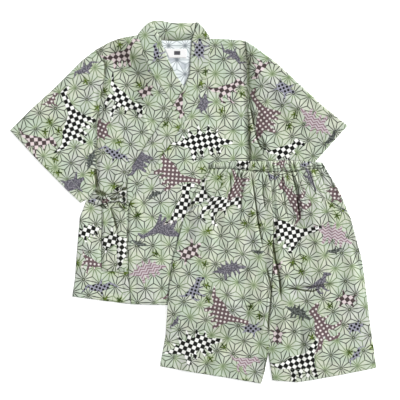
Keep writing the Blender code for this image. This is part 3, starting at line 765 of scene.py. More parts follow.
def band_right_height(x, y):
    height = LAYER + FACE + BAND_RISE + creased(x, y, CREASES_BAND[2:3]) + crumpled(x, y, 0.1)
    height += rolled(x, y, (BAND_SEAM_RIGHT, 0.7, 3), (BAND_EDGE_RIGHT, 0.6, 2.5))
    return np.minimum(height, LAYER + LAYER + 0.05)


def band_left_height(x, y):
    height = on_inner_front(x, y) + BAND_RISE + creased(x, y, CREASES_BAND) + crumpled(x, y, 0.12)
    return height + rolled(x, y, (SEAM_LEFT, 0.8, 3), (BAND_EDGE_LEFT, 0.6, 2.5))


def band_back_height(x, y):
    return FACE + 2 * BAND_RISE + rolled(x, y, (BACK_NECK, 0.5, 3), (BAND_TOP, 0.6, 4)) + crumpled(x, y, 0.1)


band_back = laid("band_back", BAND_BACK_EDGES, band_back_height, grain=80, shade_strength=0.4, thick=BAND)
FIGURES_BAND_RIGHT = [(-70, 290, 44, 60, STRIDER, LILAC)]
band_right = laid("band_right", BAND_RIGHT_EDGES, band_right_height, 27, FIGURES_BAND_RIGHT, thick=BAND)
FIGURES_BAND_LEFT = [
    (-104, 82, 78, 62, LONG_NECK, VIOLET), (-30, 190, 60, -118, STRIDER, PINK), (12, 296, 50, 80, TURTLE, LILAC),
]
band_left = laid("band_left", BAND_LEFT_EDGES, band_left_height, -32, FIGURES_BAND_LEFT, 14, shade_strength=0.5, thick=BAND)
stand_for("collar_back", BAND_BACK_EDGES, ["back_panel"])
stand_for("collar_right", BAND_RIGHT_EDGES, ["back_panel"])
stand_for("collar_left", BAND_LEFT_EDGES, ["right_front", "band_right"])

# Sleeves. Each is one panel of the cotton, folded along its top and closed at the underarm, so it lies as a
# flattened tube that is open at its hemmed cuff and joined to the body round the armhole.
SLEEVE_TOP_RIGHT = [(-357, 140), (-317, 180), (-268, 225), (-218, 275), (-190, 297)]
SLEEVE_TOP_LEFT = [(100, 315), (120, 303), (163, 271), (208, 229), (251, 189), (301, 149)]
CUFF_RIGHT = [(-219, -2), (-248, 25), (-303, 81), (-357, 140)]
CUFF_LEFT = [(169, 0), (202, 37), (241, 82), (301, 149)]
UNDERARM_RIGHT = [(-219, -2), (-208, 5), (-188, 29)]
UNDERARM_LEFT = [(113, 29), (134, 4), (169, 0)]
SLEEVE_RIGHT_EDGES = (CUFF_RIGHT, ARMHOLE_RIGHT, UNDERARM_RIGHT, SLEEVE_TOP_RIGHT)
SLEEVE_LEFT_EDGES = (ARMHOLE_LEFT, CUFF_LEFT, UNDERARM_LEFT, SLEEVE_TOP_LEFT)
CUFF_HEM = 20.0
SLEEVE_REST = 2.6
SLEEVE_UNDER = 0.1
SLEEVE_TURN = 3.0
# how strong the painted shade in the sleeves' folds is
SLEEVE_HOLLOW = 1.2
UNDER_SPACING = 6.0
CREASES_SLEEVE_RIGHT = [
    ([(-196, 268), (-240, 226), (-286, 172)], 1.5, 8, 18),
    ([(-192, 200), (-230, 156), (-270, 104)], 1.4, 17, 9),
    ([(-192, 126), (-208, 86), (-236, 46)], 1.4, 13, 7),
    ([(-184, 232), (-188, 206), (-190, 180), (-192, 140), (-192, 90)], -2.0, 5, 9),
    ([(-230, 214), (-266, 166), (-296, 118)], 0.9, 14, 8),
    ([(-312, 168), (-324, 142), (-318, 106)], 0.9, 10, 7),
    ([(-240, 240), (-272, 206), (-300, 170)], -0.7, 8, 8),
    ([(-214, 80), (-232, 60), (-244, 34)], -0.9, 5, 7),
    ([(-189, 112), (-190, 70), (-190, 30)], -1.8, 3, 6),
]
CREASES_SLEEVE_LEFT = [
    ([(114, 268), (168, 214), (220, 168)], 1.5, 16, 8),
    ([(108, 210), (110, 190), (115, 166), (120, 140), (126, 118), (136, 98)], -2.4, 3, 3),
    ([(116, 206), (122, 170), (134, 134), (150, 100)], 2.0, 12, 6),
    ([(112, 130), (140, 80), (168, 44)], 1.2, 8, 14),
    ([(130, 270), (190, 220), (250, 168)], -0.6, 13, 13),
    ([(230, 164), (222, 124), (206, 84)], 0.9, 8, 12),
    ([(150, 236), (176, 190), (196, 140)], 0.9, 13, 8),
    ([(107, 296), (108, 240), (108, 180)], -1.2, 8, 3),
]


def sleeve_front(x, y, creases, cuff, armhole):
    height = SLEEVE_REST + FACE + creased(x, y, creases) + crumpled(x, y, 0.3) + swells(y, x, 0.45)
    height += hemmed(x, y, cuff, CUFF_HEM) + rolled(x, y, (armhole, 1.8, 6))
    return np.maximum(height, SLEEVE_UNDER + CLOTH + 1.0)


def round_over(away, width):
    """A quarter round from 0 at an edge to 1 at this distance from it."""
    return np.sqrt(1 - (1 - np.clip(away / width, 0, 1)) ** 2)


def flattened_tube(name, edges, cuff, height, grain, figures, seed, spacing=2.0):
    """A folded sleeve: rows run from the underarm under the fold and back over it, where the last meets the first."""
    length = [length_of(edge) for edge in edges]
    across, columns = max(length[:2]), round(max(length[2:]) / spacing)
    under, over = round(across / UNDER_SPACING), round(across / spacing)
    behind, front = (between(edges, columns, rows) for rows in (under, over))
    mesh, i, j = gridded(name, columns, under + over)
    below, front_row = j <= under, np.clip(under + over - j, 0, over)
    x, y = np.where(below[:, None], behind[i, np.minimum(j, under)], front[i, front_row]).T
    # Painted shade in the sleeve's folds, fading at the cuff, plus the jacket's painted seam shades; none on the
    # underside.
    hollow = hollows(height(front[..., 0], front[..., 1]), round(HOLLOW_REACH / spacing))[i, front_row]
    hollow = SLEEVE_HOLLOW * hollow * ease(off(x, y, cuff) / HEM_LIT) + ditched(x, y, JACKET_SHADE)
    attribute(mesh, "hollow", np.where(below, 0, hollow))
    top = height(x, y)
    middle = (top + SLEEVE_UNDER) / 2
    bend = round_over(np.minimum(off(x, y, edges[2]), off(x, y, edges[3])), SLEEVE_TURN)
    bend[(j == 0) | (j == under) | (j == under + over)] = 0
    raised(mesh, x, y, middle + np.where(below, -1, 1) * (top - middle) * bend)
    printed(mesh, x, y, turned_about(x, y, 0, 0, grain), figures, seed)
    tube = bmesh.new()
    tube.from_mesh(mesh)
    ends = [v for v in tube.verts if v.is_boundary]
    bmesh.ops.remove_doubles(tube, verts=ends, dist=0.00005)
    bmesh.ops.recalc_face_normals(tube, faces=tube.faces)
    tube.to_mesh(mesh)
    tube.free()
    return dressed(name, mesh, (jacket_print, jacket_reverse))


def sleeve_right_height(x, y):
    return sleeve_front(x, y, CREASES_SLEEVE_RIGHT, CUFF_RIGHT, ARMHOLE_RIGHT)


def sleeve_left_height(x, y):
    return sleeve_front(x, y, CREASES_SLEEVE_LEFT, CUFF_LEFT, ARMHOLE_LEFT)


FIGURES_SLEEVE_RIGHT = [
    (-232, 152, 128, 66, LONG_NECK, CHECK), (-306, 114, 86, -40, STRIDER, PINK), (-210, 258, 64, 40, GLIDER, VIOLET),
    (-236, 34, 58, 20, TURTLE, VIOLET), (-276, 196, 44, 15, STRIDER, MAUVE), (-200, 84, 48, 80, PLATED, DARK),
]
FIGURES_SLEEVE_LEFT = [
    (138, 164, 104, 74, LONG_NECK, MAUVE), (180, 96, 88, -10, STRIDER, CHECK), (234, 156, 84, 150, PLATED, ZIGZAG),
    (176, 222, 50, -30, TURTLE, LILAC), (270, 124, 52, 60, GLIDER, DARK), (128, 262, 56, 200, STRIDER, PINK),
    (146, 42, 46, 40, GLIDER, VIOLET),
]
for side, edges, cuff, height, grain, figures, seed in (
    ("right", SLEEVE_RIGHT_EDGES, CUFF_RIGHT, sleeve_right_height, 16.0, FIGURES_SLEEVE_RIGHT, 15),
    ("left", SLEEVE_LEFT_EDGES, CUFF_LEFT, sleeve_left_height, -12.6, FIGURES_SLEEVE_LEFT, 16),
):
    piece = flattened_tube(side + "_sleeve", edges, cuff, height, grain, figures, seed)
    node = "sleeve_" + side
    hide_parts(node)

# Size label. A strip of white woven tape sewn to the inside of the back below the neck, its left end under the
# collar band. It carries one plain dark woven block and no lettering.
LABEL_FOOT = [(-47, 281), (-13, 281)]
LABEL_HEAD = [(-56, 299), (-13, 299)]
LABEL_EDGES = ([LABEL_FOOT[0], LABEL_HEAD[0]], [LABEL_FOOT[1], LABEL_HEAD[1]], LABEL_FOOT, LABEL_HEAD)
LABEL_LEVEL = 2.3
LABEL_THICK = 0.5
LABEL_RIB = 0.8
BLOCK_MIDDLE = (-31.5, 290.5)
BLOCK_SIZE = (12.0, 7.6)


def label_height(x, y):
    rim = LABEL_FOOT + LABEL_HEAD[::-1] + LABEL_FOOT[:1]
    return LABEL_LEVEL + rolled(x, y, (rim, 0.3, 2.0)) + 0.1 * np.sin(x / 5.0)


label_tape, start, shader = fabric("label_tape")
place = start.node("TexCoord", output=3)
x, y = (part / MM for part in parts(place))
ribs = (y * (math.tau / LABEL_RIB)).math("SINE")
fleck = noise(place, 900.0)
off_x = (x - BLOCK_MIDDLE[0]).math("ABSOLUTE") - BLOCK_SIZE[0] / 2
off_y = (y - BLOCK_MIDDLE[1]).math("ABSOLUTE") - BLOCK_SIZE[1] / 2
block = off_x.math("MAXIMUM", off_y).step(-0.3, 0.3, 1.0, 0.0)
tape = ribs.step(-1.0, 1.0, 0.0, 0.3).blend(paint(244, 244, 243), paint(226, 227, 228))
tape = block.blend(tape, fleck.step(0.35, 0.65).blend(paint(66, 66, 70), paint(96, 96, 102)))
coat(shader, tape, fleck.step(0.3, 0.7, 0.45, 0.6), ribs, distance=0.0002)
label = laid("size_label", LABEL_EDGES, label_height, spacing=1.0, faces=(label_tape, label_tape), thick=LABEL_THICK)
stand_for("neck_label", LABEL_EDGES, ["back_panel"])

# Side tie. Two narrow bands of the same cotton, each folded and stitched: one leaves the side seam, one the outer
# front's edge, and they meet in one knot over the waist, with both free tails hanging straight down.
TIE_LEVEL = 1.5 * LAYER
TIE_SIDE_EDGES = (
    [(-205, 1), (-189, 25)],
    [(-178, -9), (-175, 13)],
    [(-205, 1), (-178, -9)],
    [(-189, 25), (-175, 13)],
)
TIE_FRONT_EDGES = (
    [(-162, -3), (-164, 13)],
    [(-130, -13), (-130, 40)],
    [(-162, -3), (-143, 2), (-130, -13)],
    [(-164, 13), (-147, 31), (-130, 40)],
)
TAIL_PARTING = [(-149, -135), (-149.5, -50), (-156, -25), (-161, -12)]
TAIL_BACK_EDGES = ([(-178, -134), (-178, -13)], TAIL_PARTING, [(-178, -134), (-149, -135)], [(-178, -13), (-161, -12)])
TAIL_FRONT_EDGES = (
    TAIL_PARTING,
    [(-130, -136), (-130, -50), (-130, -19)],
    [(-149, -135), (-130, -136)],
    [(-161, -12), (-143, -3), (-130, -19)],
)
KNOT_MIDDLE = (-170.0, 1.0, 6.2)
KNOT_RADII = (8.5, 12.5, 3.4)
# how strongly shade is painted into the grooves between the knot's wraps
KNOT_HOLLOW = 12.0


def crowned(edges, rise, roll):
    """The height of a narrow folded band: it rolls down at both sides, with soft creases along it."""

    def height(x, y):
        side = np.minimum(off(x, y, edges[0]), off(x, y, edges[1]))
        side = np.minimum(side, off(x, y, edges[2]) * 0.5)
        return TIE_LEVEL + FACE + rise * ease(side / roll) + 0.4 * np.sin(x / 2.4 + y / 40) * ease(side / 2)

    return height


def fanned(x, y):
    """The strand from the front's edge: pleats that draw together towards the knot."""
    run = np.clip((x + 164) / 34, 0, 1)
    low, high = -3 - 10 * run, 13 + 27 * run
    share = np.clip((y - low) / (high - low), 0, 1)
    pleats = (1.5 - 0.7 * run) * np.cos(share * math.tau * 3.2) * ease(share / 0.08)
    return TIE_LEVEL + FACE + 0.5 + pleats + 0.5 * (1 - run)


def side_strand(x, y):
    run = np.clip((x + 205) / 28, 0, 1)
    return TIE_LEVEL + FACE + 0.8 + 1.1 * np.sin((y + x * 0.35) / 2.2) * run + 0.4 * run


# The tie's cotton: the same print with painted shade over all of it.
tie_print = printed_cotton("tie_print", 0.9)
TIE_SHADE = [
    (TAIL_PARTING[1:], 1.8, 3.5),
    ([(-190, 26), (-184, 12), (-166, 12)], 2.4, 6), ([(-182, -8), (-172, -3), (-163, -9)], 2.4, 6),
    ([(-164, 6), (-150, 3), (-134, -16)], 2.2, 6), ([(-150, 26), (-140, 31), (-132, 24)], 1.6, 5),
]
TIE_FACES = (tie_print, jacket_reverse)
FIGURES_TIE_FRONT = [(-136, 16, 46, 96, STRIDER, CHECK), (-144, -2, 34, 10, GLIDER, CHECK)]
FIGURES_TAIL_BACK = [(-163, -76, 60, 30, TURTLE, CHECK)]
FIGURES_TAIL_FRONT = [(-139, -88, 96, 84, LONG_NECK, CHECK)]
back_crown, front_crown = crowned(TAIL_BACK_EDGES, 1.5, 4), crowned(TAIL_FRONT_EDGES, 1.6, 4)
for name, node, edges, height, shade_strength, figures in (
    ("tie_strand_side", "tie_side", TIE_SIDE_EDGES, side_strand, 2.4, [(-196, 2, 30, 20, GLIDER, LILAC)]),
    ("tie_strand_front", "tie_front", TIE_FRONT_EDGES, fanned, 2.4, FIGURES_TIE_FRONT),
    ("tie_tail_one", "tie_tail_back", TAIL_BACK_EDGES, back_crown, 0.6, FIGURES_TAIL_BACK),
    ("tie_tail_two", "tie_tail_front", TAIL_FRONT_EDGES, front_crown, 0.6, FIGURES_TAIL_FRONT),
):
    strand = laid(name, edges, height, 4, figures, spacing=0.9, shade_strength=shade_strength, faces=TIE_FACES, seams=TIE_SHADE)
    stand_for(node, edges, ["right_front"])

lump = bmesh.new()
bmesh.ops.create_icosphere(lump, subdivisions=5, radius=1.0)
for vertex in lump.verts:
    side, length, rise = vertex.co
    wrap = math.sin(9.0 * (length * 0.8 + side * 0.75)) * 0.15 + math.sin(15.0 * (side - length * 0.5) + 0.6) * 0.07
    pinch = 1.0 - 0.16 * math.exp(-((length + 0.1 + 0.5 * side) ** 2) / 0.02)
    swell = (1.0 + wrap) * pinch
    vertex.co = (side * swell * KNOT_RADII[0], length * swell * KNOT_RADII[1], rise * swell * KNOT_RADII[2])
bmesh.ops.translate(lump, verts=lump.verts, vec=KNOT_MIDDLE)
bmesh.ops.scale(lump, verts=lump.verts, vec=(MM, MM, MM))
mesh = meshed("tie_wound_knot", lump)
mesh.polygons.foreach_set("use_smooth", np.ones(len(mesh.polygons), bool))
x, y, z = places_of(mesh) / MM
printed(mesh, x, y, (x + z * 2, y + z), [(-172, 2, 22, 0, TURTLE, MAUVE)])
# Painted shade: darker in the grooves between the wraps, where the knot's surface lies inside its plain round.
swell = np.sqrt(sum(((way - middle) / reach) ** 2 for way, middle, reach in zip((x, y, z), KNOT_MIDDLE, KNOT_RADII)))
attribute(mesh, "hollow", KNOT_HOLLOW * (1.0 - swell))
mesh.materials.append(tie_print)
knot = put("tie_wound_knot", mesh)
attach(knot, "root")
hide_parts("tie_knot")

# Shorts backs. One panel a leg, under the fronts: only their edges show. They lie on the jacket's lower right and
# ease down to the ground past it.
CUFF_CORNER = [(100, 315), (-190, 297), (-357, 140), (-219, -2)]
JACKET_PLAN = HEM_BACK + SIDE_LEFT[1:5] + CUFF_LEFT + CUFF_CORNER
BED = 6.0
BED_START = 10.0
BED_EASE = 60.0
CENTRE_SEAM = [(151, -191), (155, -113), (156, -45), (152, 25), (144, 59)]
CROTCH = (146, -296)
INSEAM_RIGHT = [(132, -354), (139, -331), CROTCH]
INSEAM_LEFT = [(154, -347), CROTCH]
SHORTS_HEM_RIGHT = [(-65, -320), (2, -332), (59, -341), (118, -351), (132, -354)]
SHORTS_HEM_LEFT = [(154, -347), (202, -351), (247, -344), (295, -335), (357, -323)]
SIDE_RIGHT_LOW = [(-65, -320), (-54, -259), (-48, -172), (-39, -109), (-18, -31), (-13, -20)]
SIDE_LEFT_LOW = [(357, -323), (345, -237), (337, -172), (329, -113), (306, -28), (303, -22)]
SIDE_RIGHT_TOP = [(-11, -16), (5, 23), (32, 66)]
SIDE_LEFT_TOP = [(301, -18), (284, 23), (257, 66)]
WAIST_SEAM = [(32, 66), (64, 66), (120, 60), (144, 59), (188, 60), (226, 65), (257, 66)]
SHORTS_SIDE_RIGHT, SHORTS_SIDE_LEFT = SIDE_RIGHT_LOW + SIDE_RIGHT_TOP, SIDE_LEFT_LOW + SIDE_LEFT_TOP
INNER_LINE_RIGHT, INNER_LINE_LEFT = INSEAM_RIGHT + CENTRE_SEAM, INSEAM_LEFT + CENTRE_SEAM
BACK_RIGHT_EDGES = (SHORTS_SIDE_RIGHT, INNER_LINE_RIGHT, SHORTS_HEM_RIGHT, WAIST_SEAM[:4])
BACK_LEFT_EDGES = (INNER_LINE_LEFT, SHORTS_SIDE_LEFT, SHORTS_HEM_LEFT, WAIST_SEAM[3:])

# The shorts' cotton: the same print with a little painted shade over all of it.
shorts_print = printed_cotton("shorts_print", 0.98)
shorts_reverse = wrong_side("shorts_reverse")


def inside(x, y, plan):
    """Whether each place lies inside a closed line of points."""
    within = np.zeros(np.shape(x), bool)
    for (x0, y0), (x1, y1) in zip(plan, plan[1:] + plan[:1]):
        if y0 != y1:
            within ^= ((y0 > y) != (y1 > y)) & (x < x0 + (y - y0) * (x1 - x0) / (y1 - y0))
    return within


def bed(x, y):
    """What the shorts lie on: the jacket, easing to the ground past its edges."""
    away = np.where(inside(x, y, JACKET_PLAN), 0.0, off(x, y, JACKET_PLAN + JACKET_PLAN[:1]))
    return BED * (1 - ease((away - BED_START) / BED_EASE))


def shorts_back_height(x, y):
    return bed(x, y) + FACE


for name, node, edges, grain in (
    ("right_leg_back", "shorts_back_right", BACK_RIGHT_EDGES, -10),
    ("left_leg_back", "shorts_back_left", BACK_LEFT_EDGES, 8),
):
    piece = laid(name, edges, shorts_back_height, grain=grain, spacing=5.0, faces=(shorts_reverse, shorts_print))
    stand_for(node, edges, ["left_front", "floor"], 1.2)

# Shorts fronts. One panel a leg, sewn together down the middle and cut away at the top corner for a slanted pocket
# mouth. The elastic draws them into gathers that fade down the legs, and the legs crease along the middle.
POCKET_MOUTH_RIGHT = [(-13, -20), (33, 8), (52, 29), (64, 66)]
POCKET_MOUTH_LEFT = [(303, -22), (257, 8), (237, 29), (226, 65)]
FRONT_RIGHT_EDGES = (SIDE_RIGHT_LOW + POCKET_MOUTH_RIGHT[1:], INNER_LINE_RIGHT, SHORTS_HEM_RIGHT, WAIST_SEAM[1:4])
FRONT_LEFT_EDGES = (INNER_LINE_LEFT, SIDE_LEFT_LOW + POCKET_MOUTH_LEFT[1:], SHORTS_HEM_LEFT, WAIST_SEAM[3:6])
GATHERS = 22
GATHER_HEIGHT = 4.2
GATHER_TOP = 82.0
DRAW_START = -30.0
DRAWN = 0.55
WAIST_MIDDLE = 144.0
GATHER_END = -80.0
GATHER_ROWS = [-323, -172, -109, -31, 23, 66, 82]
GATHER_LEFT = [-65, -48, -39, -18, 5, 32, 38]
GATHER_RIGHT = [357, 337, 329, 307, 284, 257, 250]
SHORTS_LOOSE = 1.8
SHORTS_LOFT = 2.4
LOFT_EASE = 45.0
DRAWN_WAVE = 3.0
CREASES_SHORTS = [
    ([(103, 62), (108, 36), (112, 10), (116, -20), (121, -50), (128, -92)], 2.4, 8, 15),
    ([(111, 66), (116, 36), (120, 10), (124, -20), (128, -46), (137, -96)], -2.2, 2.4, 3.4),
    ([(160, 62), (163, 20), (166, -44), (166, -88), (172, -126), (178, -156), (180, -200)], 2.2, 17, 7),
    ([(154, -66), (156, -86), (159, -109), (165, -132), (169, -156), (171, -192)], -3.4, 3.0, 5.0),
    ([(141, -118), (144, -132), (150, -158), (152, -172), (150, -201), (147, -230), (146, -262)], -2.6, 2.4, 4.0),
    ([(132, -128), (140, -170), (138, -220), (136, -270)], 1.4, 6, 14),
    ([(190, 66), (195, 43), (200, 23), (205, -16), (208, -40)], -2.6, 2.6, 2.6),
    ([(198, 62), (204, 34), (211, 0), (219, -36)], 1.9, 12, 6),
    ([(224, 66), (228, 48), (235, 28), (240, 8)], -2.0, 2.2, 2.2),
    ([(70, 66), (72, 47), (73, 24), (66, -10)], -2.0, 2.4, 2.4),
    ([(92, 66), (94, 40), (94, 10), (90, -20)], -1.7, 2.4, 2.4),
    ([(132, 66), (134, 40), (136, 14), (140, -20)], -1.6, 2.2, 2.4),
    ([(172, 66), (174, 30), (178, 0), (186, -40)], -1.4, 2.4, 2.4),
    ([(166, -166), (180, -166), (204, -170), (232, -174), (250, -168)], -1.8, 3.0, 3.0),
    ([(168, -158), (200, -158), (232, -160), (290, -150)], 1.5, 12, 5),
    ([(60, 36), (44, -30), (28, -110)], 1.3, 8, 15),
    ([(100, 10), (96, -40), (84, -100)], 1.2, 10, 6),
    ([(256, -50), (262, -100), (268, -156)], 1.3, 14, 8),
    ([(84, -240), (62, -280), (40, -322)], 1.3, 15, 8),
    ([(240, -226), (252, -270), (262, -322)], 1.3, 8, 15),
    ([(-40, -196), (30, -204), (70, -200), (134, -198)], 1.3, 10, 4),
    ([(6, -40), (-6, -110), (-16, -180)], 1.0, 12, 8),
    ([(300, -60), (316, -140), (322, -220)], 1.1, 12, 8),
    ([(110, -120), (116, -180), (112, -240)], 1.1, 13, 8),
    ([(200, -220), (206, -270), (200, -336)], 1.1, 8, 13),
    ([(20, -60), (60, -80), (110, -84)], 0.8, 10, 6),
    ([(232, 62), (238, 20), (250, -30)], 1.3, 4, 11),
]
SHORTS_SHADE = [
    ([(158, -40), (168, -110), (176, -180), (172, -260)], 0.55, 24),
    ([(116, 60), (124, -20), (134, -100)], 0.45, 15),
    ([(206, 60), (214, 0), (224, -60)], 0.34, 18),
    ([(146, -200), (142, -260), (138, -320)], 0.45, 18),
    ([(60, 60), (66, 10), (56, -60)], 0.3, 16),
    ([(150, -96), (149, -150), (145, -210), (135, -280), (141, -345)], 0.72, 26),
    ([(62, 60), (100, 54), (140, 50), (190, 52), (230, 58)], 0.42, 40),
    ([(36, -180), (48, -220), (66, -256)], 0.36, 36),
    ([(196, -167), (230, -166), (268, -160)], 0.62, 15),
    ([(8, -312), (60, -324), (132, -338)], 0.4, 30), ([(176, -334), (212, -334), (250, -326)], 0.4, 30),
    ([(304, -30), (310, -80), (312, -120)], 0.4, 20), ([(20, -120), (62, -148), (100, -140)], 0.36, 26),
    ([(20, -250), (90, -262), (110, -200)], 0.36, 80), ([(190, 20), (215, -90), (225, -200), (200, -290)], 0.42, 80),
    (WAIST_SEAM, 0.8, 3.5),
]
SHORTS_HEM_FOLD = 24.0
SHORTS_ROLLS = [
    (SHORTS_SIDE_RIGHT, 1.2, 9), (SHORTS_SIDE_LEFT, 1.2, 9), (CENTRE_SEAM, 1.0, 2.5), (WAIST_SEAM, 1.6, 4),
    (INSEAM_RIGHT, 1.0, 5), (INSEAM_LEFT, 1.0, 5), (POCKET_MOUTH_RIGHT, 0.3, 2.5), (POCKET_MOUTH_LEFT, 0.3, 2.5),
]


def gathers(x, y):
    """Gathers that spread from the waist and fade down the legs, each of its own width, height and reach."""
    left, right = np.interp(y, GATHER_ROWS, GATHER_LEFT), np.interp(y, GATHER_ROWS, GATHER_RIGHT)
    share = (x - left) / (right - left)
    turn = GATHERS * (share + 0.014 * np.sin(19 * share + 1) + 0.008 * np.sin(43 * share))
    turn = turn + 0.2 * np.sin(y / 15 + x / 21)
    number = np.floor(turn + 0.5)
    uneven = (0.5 + 0.5 * np.sin(2.4 * number)) * (0.6 + 0.4 * np.cos(5.1 * number + 1))
    end = GATHER_END - 60 * np.sin(1.7 * number + 0.6)
    fade = np.clip((y - end) / (GATHER_TOP - end), 0, 1) ** 1.6
    groove = 1 - np.abs(np.cos(math.pi * turn)) ** 0.7
    swell = 0.5 + 0.5 * np.cos(math.tau * turn)
    return GATHER_HEIGHT * fade * (0.25 + uneven) * (0.45 * swell - 0.75 * groove + 0.4)


def drawn_up(x, y):
    """Where on the flat cloth each place comes from: the elastic draws a wider cloth together at the waist."""
    share = ease((y - DRAW_START) / (GATHER_TOP - DRAW_START))
    spread = 1 + DRAWN * share
    return WAIST_MIDDLE + (x - WAIST_MIDDLE) * spread + DRAWN_WAVE * share * np.sin(x / 5.0 + y / 26), y


def shorts_front_height(x, y):
    inwards = np.minimum(off(x, y, SHORTS_SIDE_RIGHT), off(x, y, SHORTS_SIDE_LEFT))
    rise = SHORTS_LOOSE + FACE + SHORTS_LOFT * ease(inwards / LOFT_EASE) + gathers(x, y) + swells(x, y, 1.3)
    rise += creased(x, y, CREASES_SHORTS) + crumpled(x, y, 0.4) + rolled(x, y, *SHORTS_ROLLS)
    rise += sum(hemmed(x, y, hem, SHORTS_HEM_FOLD) for hem in (SHORTS_HEM_RIGHT, SHORTS_HEM_LEFT))
    return bed(x, y) + np.maximum(rise, FACE + 1.1)


FIGURES_RIGHT_LEG = [
    (66, 30, 92, 84, LONG_NECK, MAUVE), (40, -8, 112, -36, STRIDER, CHECK), (72, -128, 72, 20, PLATED, VIOLET),
    (126, -98, 36, 0, GLIDER, DARK), (-8, -98, 62, 30, TURTLE, PINK), (4, -172, 66, 20, STRIDER, LILAC),
    (56, -216, 104, -64, LONG_NECK, MAUVE), (112, -246, 46, -12, TURTLE, LILAC), (4, -276, 124, 24, PLATED, CHECK),
    (100, -314, 66, -30, STRIDER, ZIGZAG), (-34, -234, 40, 60, GLIDER, VIOLET),
]
FIGURES_LEFT_LEG = [
    (206, 6, 104, 82, STRIDER, MAUVE), (150, 50, 60, 190, GLIDER, LILAC), (268, 40, 56, 100, TURTLE, VIOLET),
    (188, -60, 120, -34, LONG_NECK, CHECK), (276, -96, 42, 20, GLIDER, DARK), (276, -62, 90, -14, PLATED, ZIGZAG),
    (248, -160, 62, 12, STRIDER, VIOLET), (206, -214, 60, -16, PLATED, DARK), (254, -246, 110, 70, STRIDER, MAUVE),
    (314, -244, 42, 10, TURTLE, LILAC), (212, -312, 122, 12, LONG_NECK, CHECK), (300, -190, 50, 170, TURTLE, PINK),
    (318, -298, 50, 60, GLIDER, LILAC), (164, -262, 44, 84, TURTLE, PINK), (160, -128, 44, 60, PLATED, PINK),
]
SHORTS_FACES = (shorts_print, shorts_reverse)
for name, node, edges, side, grain, figures, seed in (
    ("right_leg_front", "shorts_front_right", FRONT_RIGHT_EDGES, SIDE_RIGHT_LOW, -10, FIGURES_RIGHT_LEG, 21),
    ("left_leg_front", "shorts_front_left", FRONT_LEFT_EDGES, SIDE_LEFT_LOW, 8, FIGURES_LEFT_LEG, 22),
):
    piece = laid(
        name, edges, shorts_front_height, grain, figures, seed, 1.6, 1.1, SHORTS_FACES,
        pull=drawn_up, seams=SHORTS_SHADE, open_side=side,
    )
    stand_for(node, edges, [name.replace("front", "back")], 1.2)

# Pocket pieces. The side of each pocket bag that shows outside the slanted mouth, in the same cotton. It lies a
# little lower than the mouth's stitched edge.
POCKET_FOOT_RIGHT = [SIDE_RIGHT_TOP[0], POCKET_MOUTH_RIGHT[1]]
POCKET_FOOT_LEFT = [POCKET_MOUTH_LEFT[1], SIDE_LEFT_TOP[0]]
POCKET_RIGHT_EDGES = (SIDE_RIGHT_TOP, POCKET_MOUTH_RIGHT[1:], POCKET_FOOT_RIGHT, WAIST_SEAM[:2])
POCKET_LEFT_EDGES = (POCKET_MOUTH_LEFT[1:], SIDE_LEFT_TOP, POCKET_FOOT_LEFT, WAIST_SEAM[5:])


def pocket_height(x, y):
    return np.maximum(shorts_front_height(x, y) - 0.5, bed(x, y) + FACE + 1.0)


for name, node, edges, grain, figures in (
    ("right_pocket", "pocket_right", POCKET_RIGHT_EDGES, -14, [(16, 12, 60, 40, LONG_NECK, CHECK)]),
    ("left_pocket", "pocket_left", POCKET_LEFT_EDGES, 12, [(276, 16, 46, -60, TURTLE, MAUVE)]),
):
    piece = laid(name, edges, pocket_height, grain, figures, 23, 1.5, faces=SHORTS_FACES)
    stand_for(node, edges, [name.split("_")[0] + "_leg_back"], 1.2)

# Waist casing. A strip of the same cotton folded over the elastic, which draws it into short upright gathers. Its
# front stands over its back, and both turn over the top edge.
WAIST_TOP = [(38, 77), (72, 81), (134, 80), (181, 82), (218, 80), (250, 77)]
WAIST_EDGES = ([(32, 66), (38, 77)], [(257, 66), (250, 77)], WAIST_SEAM, WAIST_TOP)
ELASTIC_RISE = 1.2
CASING_TURN = 4.0


def casing_front_height(x, y):
    rise = SHORTS_LOOSE + SHORTS_LOFT - CLOTH + gathers(x, y) + ELASTIC_RISE * ease(off(x, y, WAIST_SEAM) / 5)
    rise += rolled(x, y, (WAIST_SEAM, 1.2, 3), (WAIST_EDGES[0], 1.4, 5), (WAIST_EDGES[1], 1.4, 5))
    return bed(x, y) + FACE + CLOTH + np.maximum(rise, 0.2) * round_over(off(x, y, WAIST_TOP), CASING_TURN)


casing_back = laid("casing_back", WAIST_EDGES, shorts_back_height, spacing=3.0, faces=(shorts_reverse, shorts_print))
FIGURES_CASING = [(70, 74, 56, 10, TURTLE, CHECK), (190, 76, 60, 0, STRIDER, MAUVE), (258, 72, 40, 20, GLIDER, LILAC)]
casing_front = laid(
    "casing_front", WAIST_EDGES, casing_front_height, 3, FIGURES_CASING, 24, 1.0, 1.5, SHORTS_FACES, pull=drawn_up
)
stand_for("waistband_back", WAIST_EDGES, ["left_front"], 1.3)
stand_for("waistband_front", WAIST_EDGES, ["casing_back"], 1.5)

# Stitching. Small stitches of sage thread run along the hems, beside the collar seams, along the pocket mouths, under
# the casing and round the label. Each row follows its seam at a set distance and lies on the cloth.
STITCH_PITCH = 3.4
STITCH = (1.25, 0.3, 0.22)
STITCH_SINK = 0.05


def offset_line(line, inset):
    """Evenly spaced points beside a line, to its left, with the direction at each."""
    points = outline(line, max(2, round(length_of(line) / STITCH_PITCH)))
    along = np.gradient(points, axis=0)
    along /= np.hypot(*along.T)[:, None]
    return points + inset * np.column_stack([-along[:, 1], along[:, 0]]), along


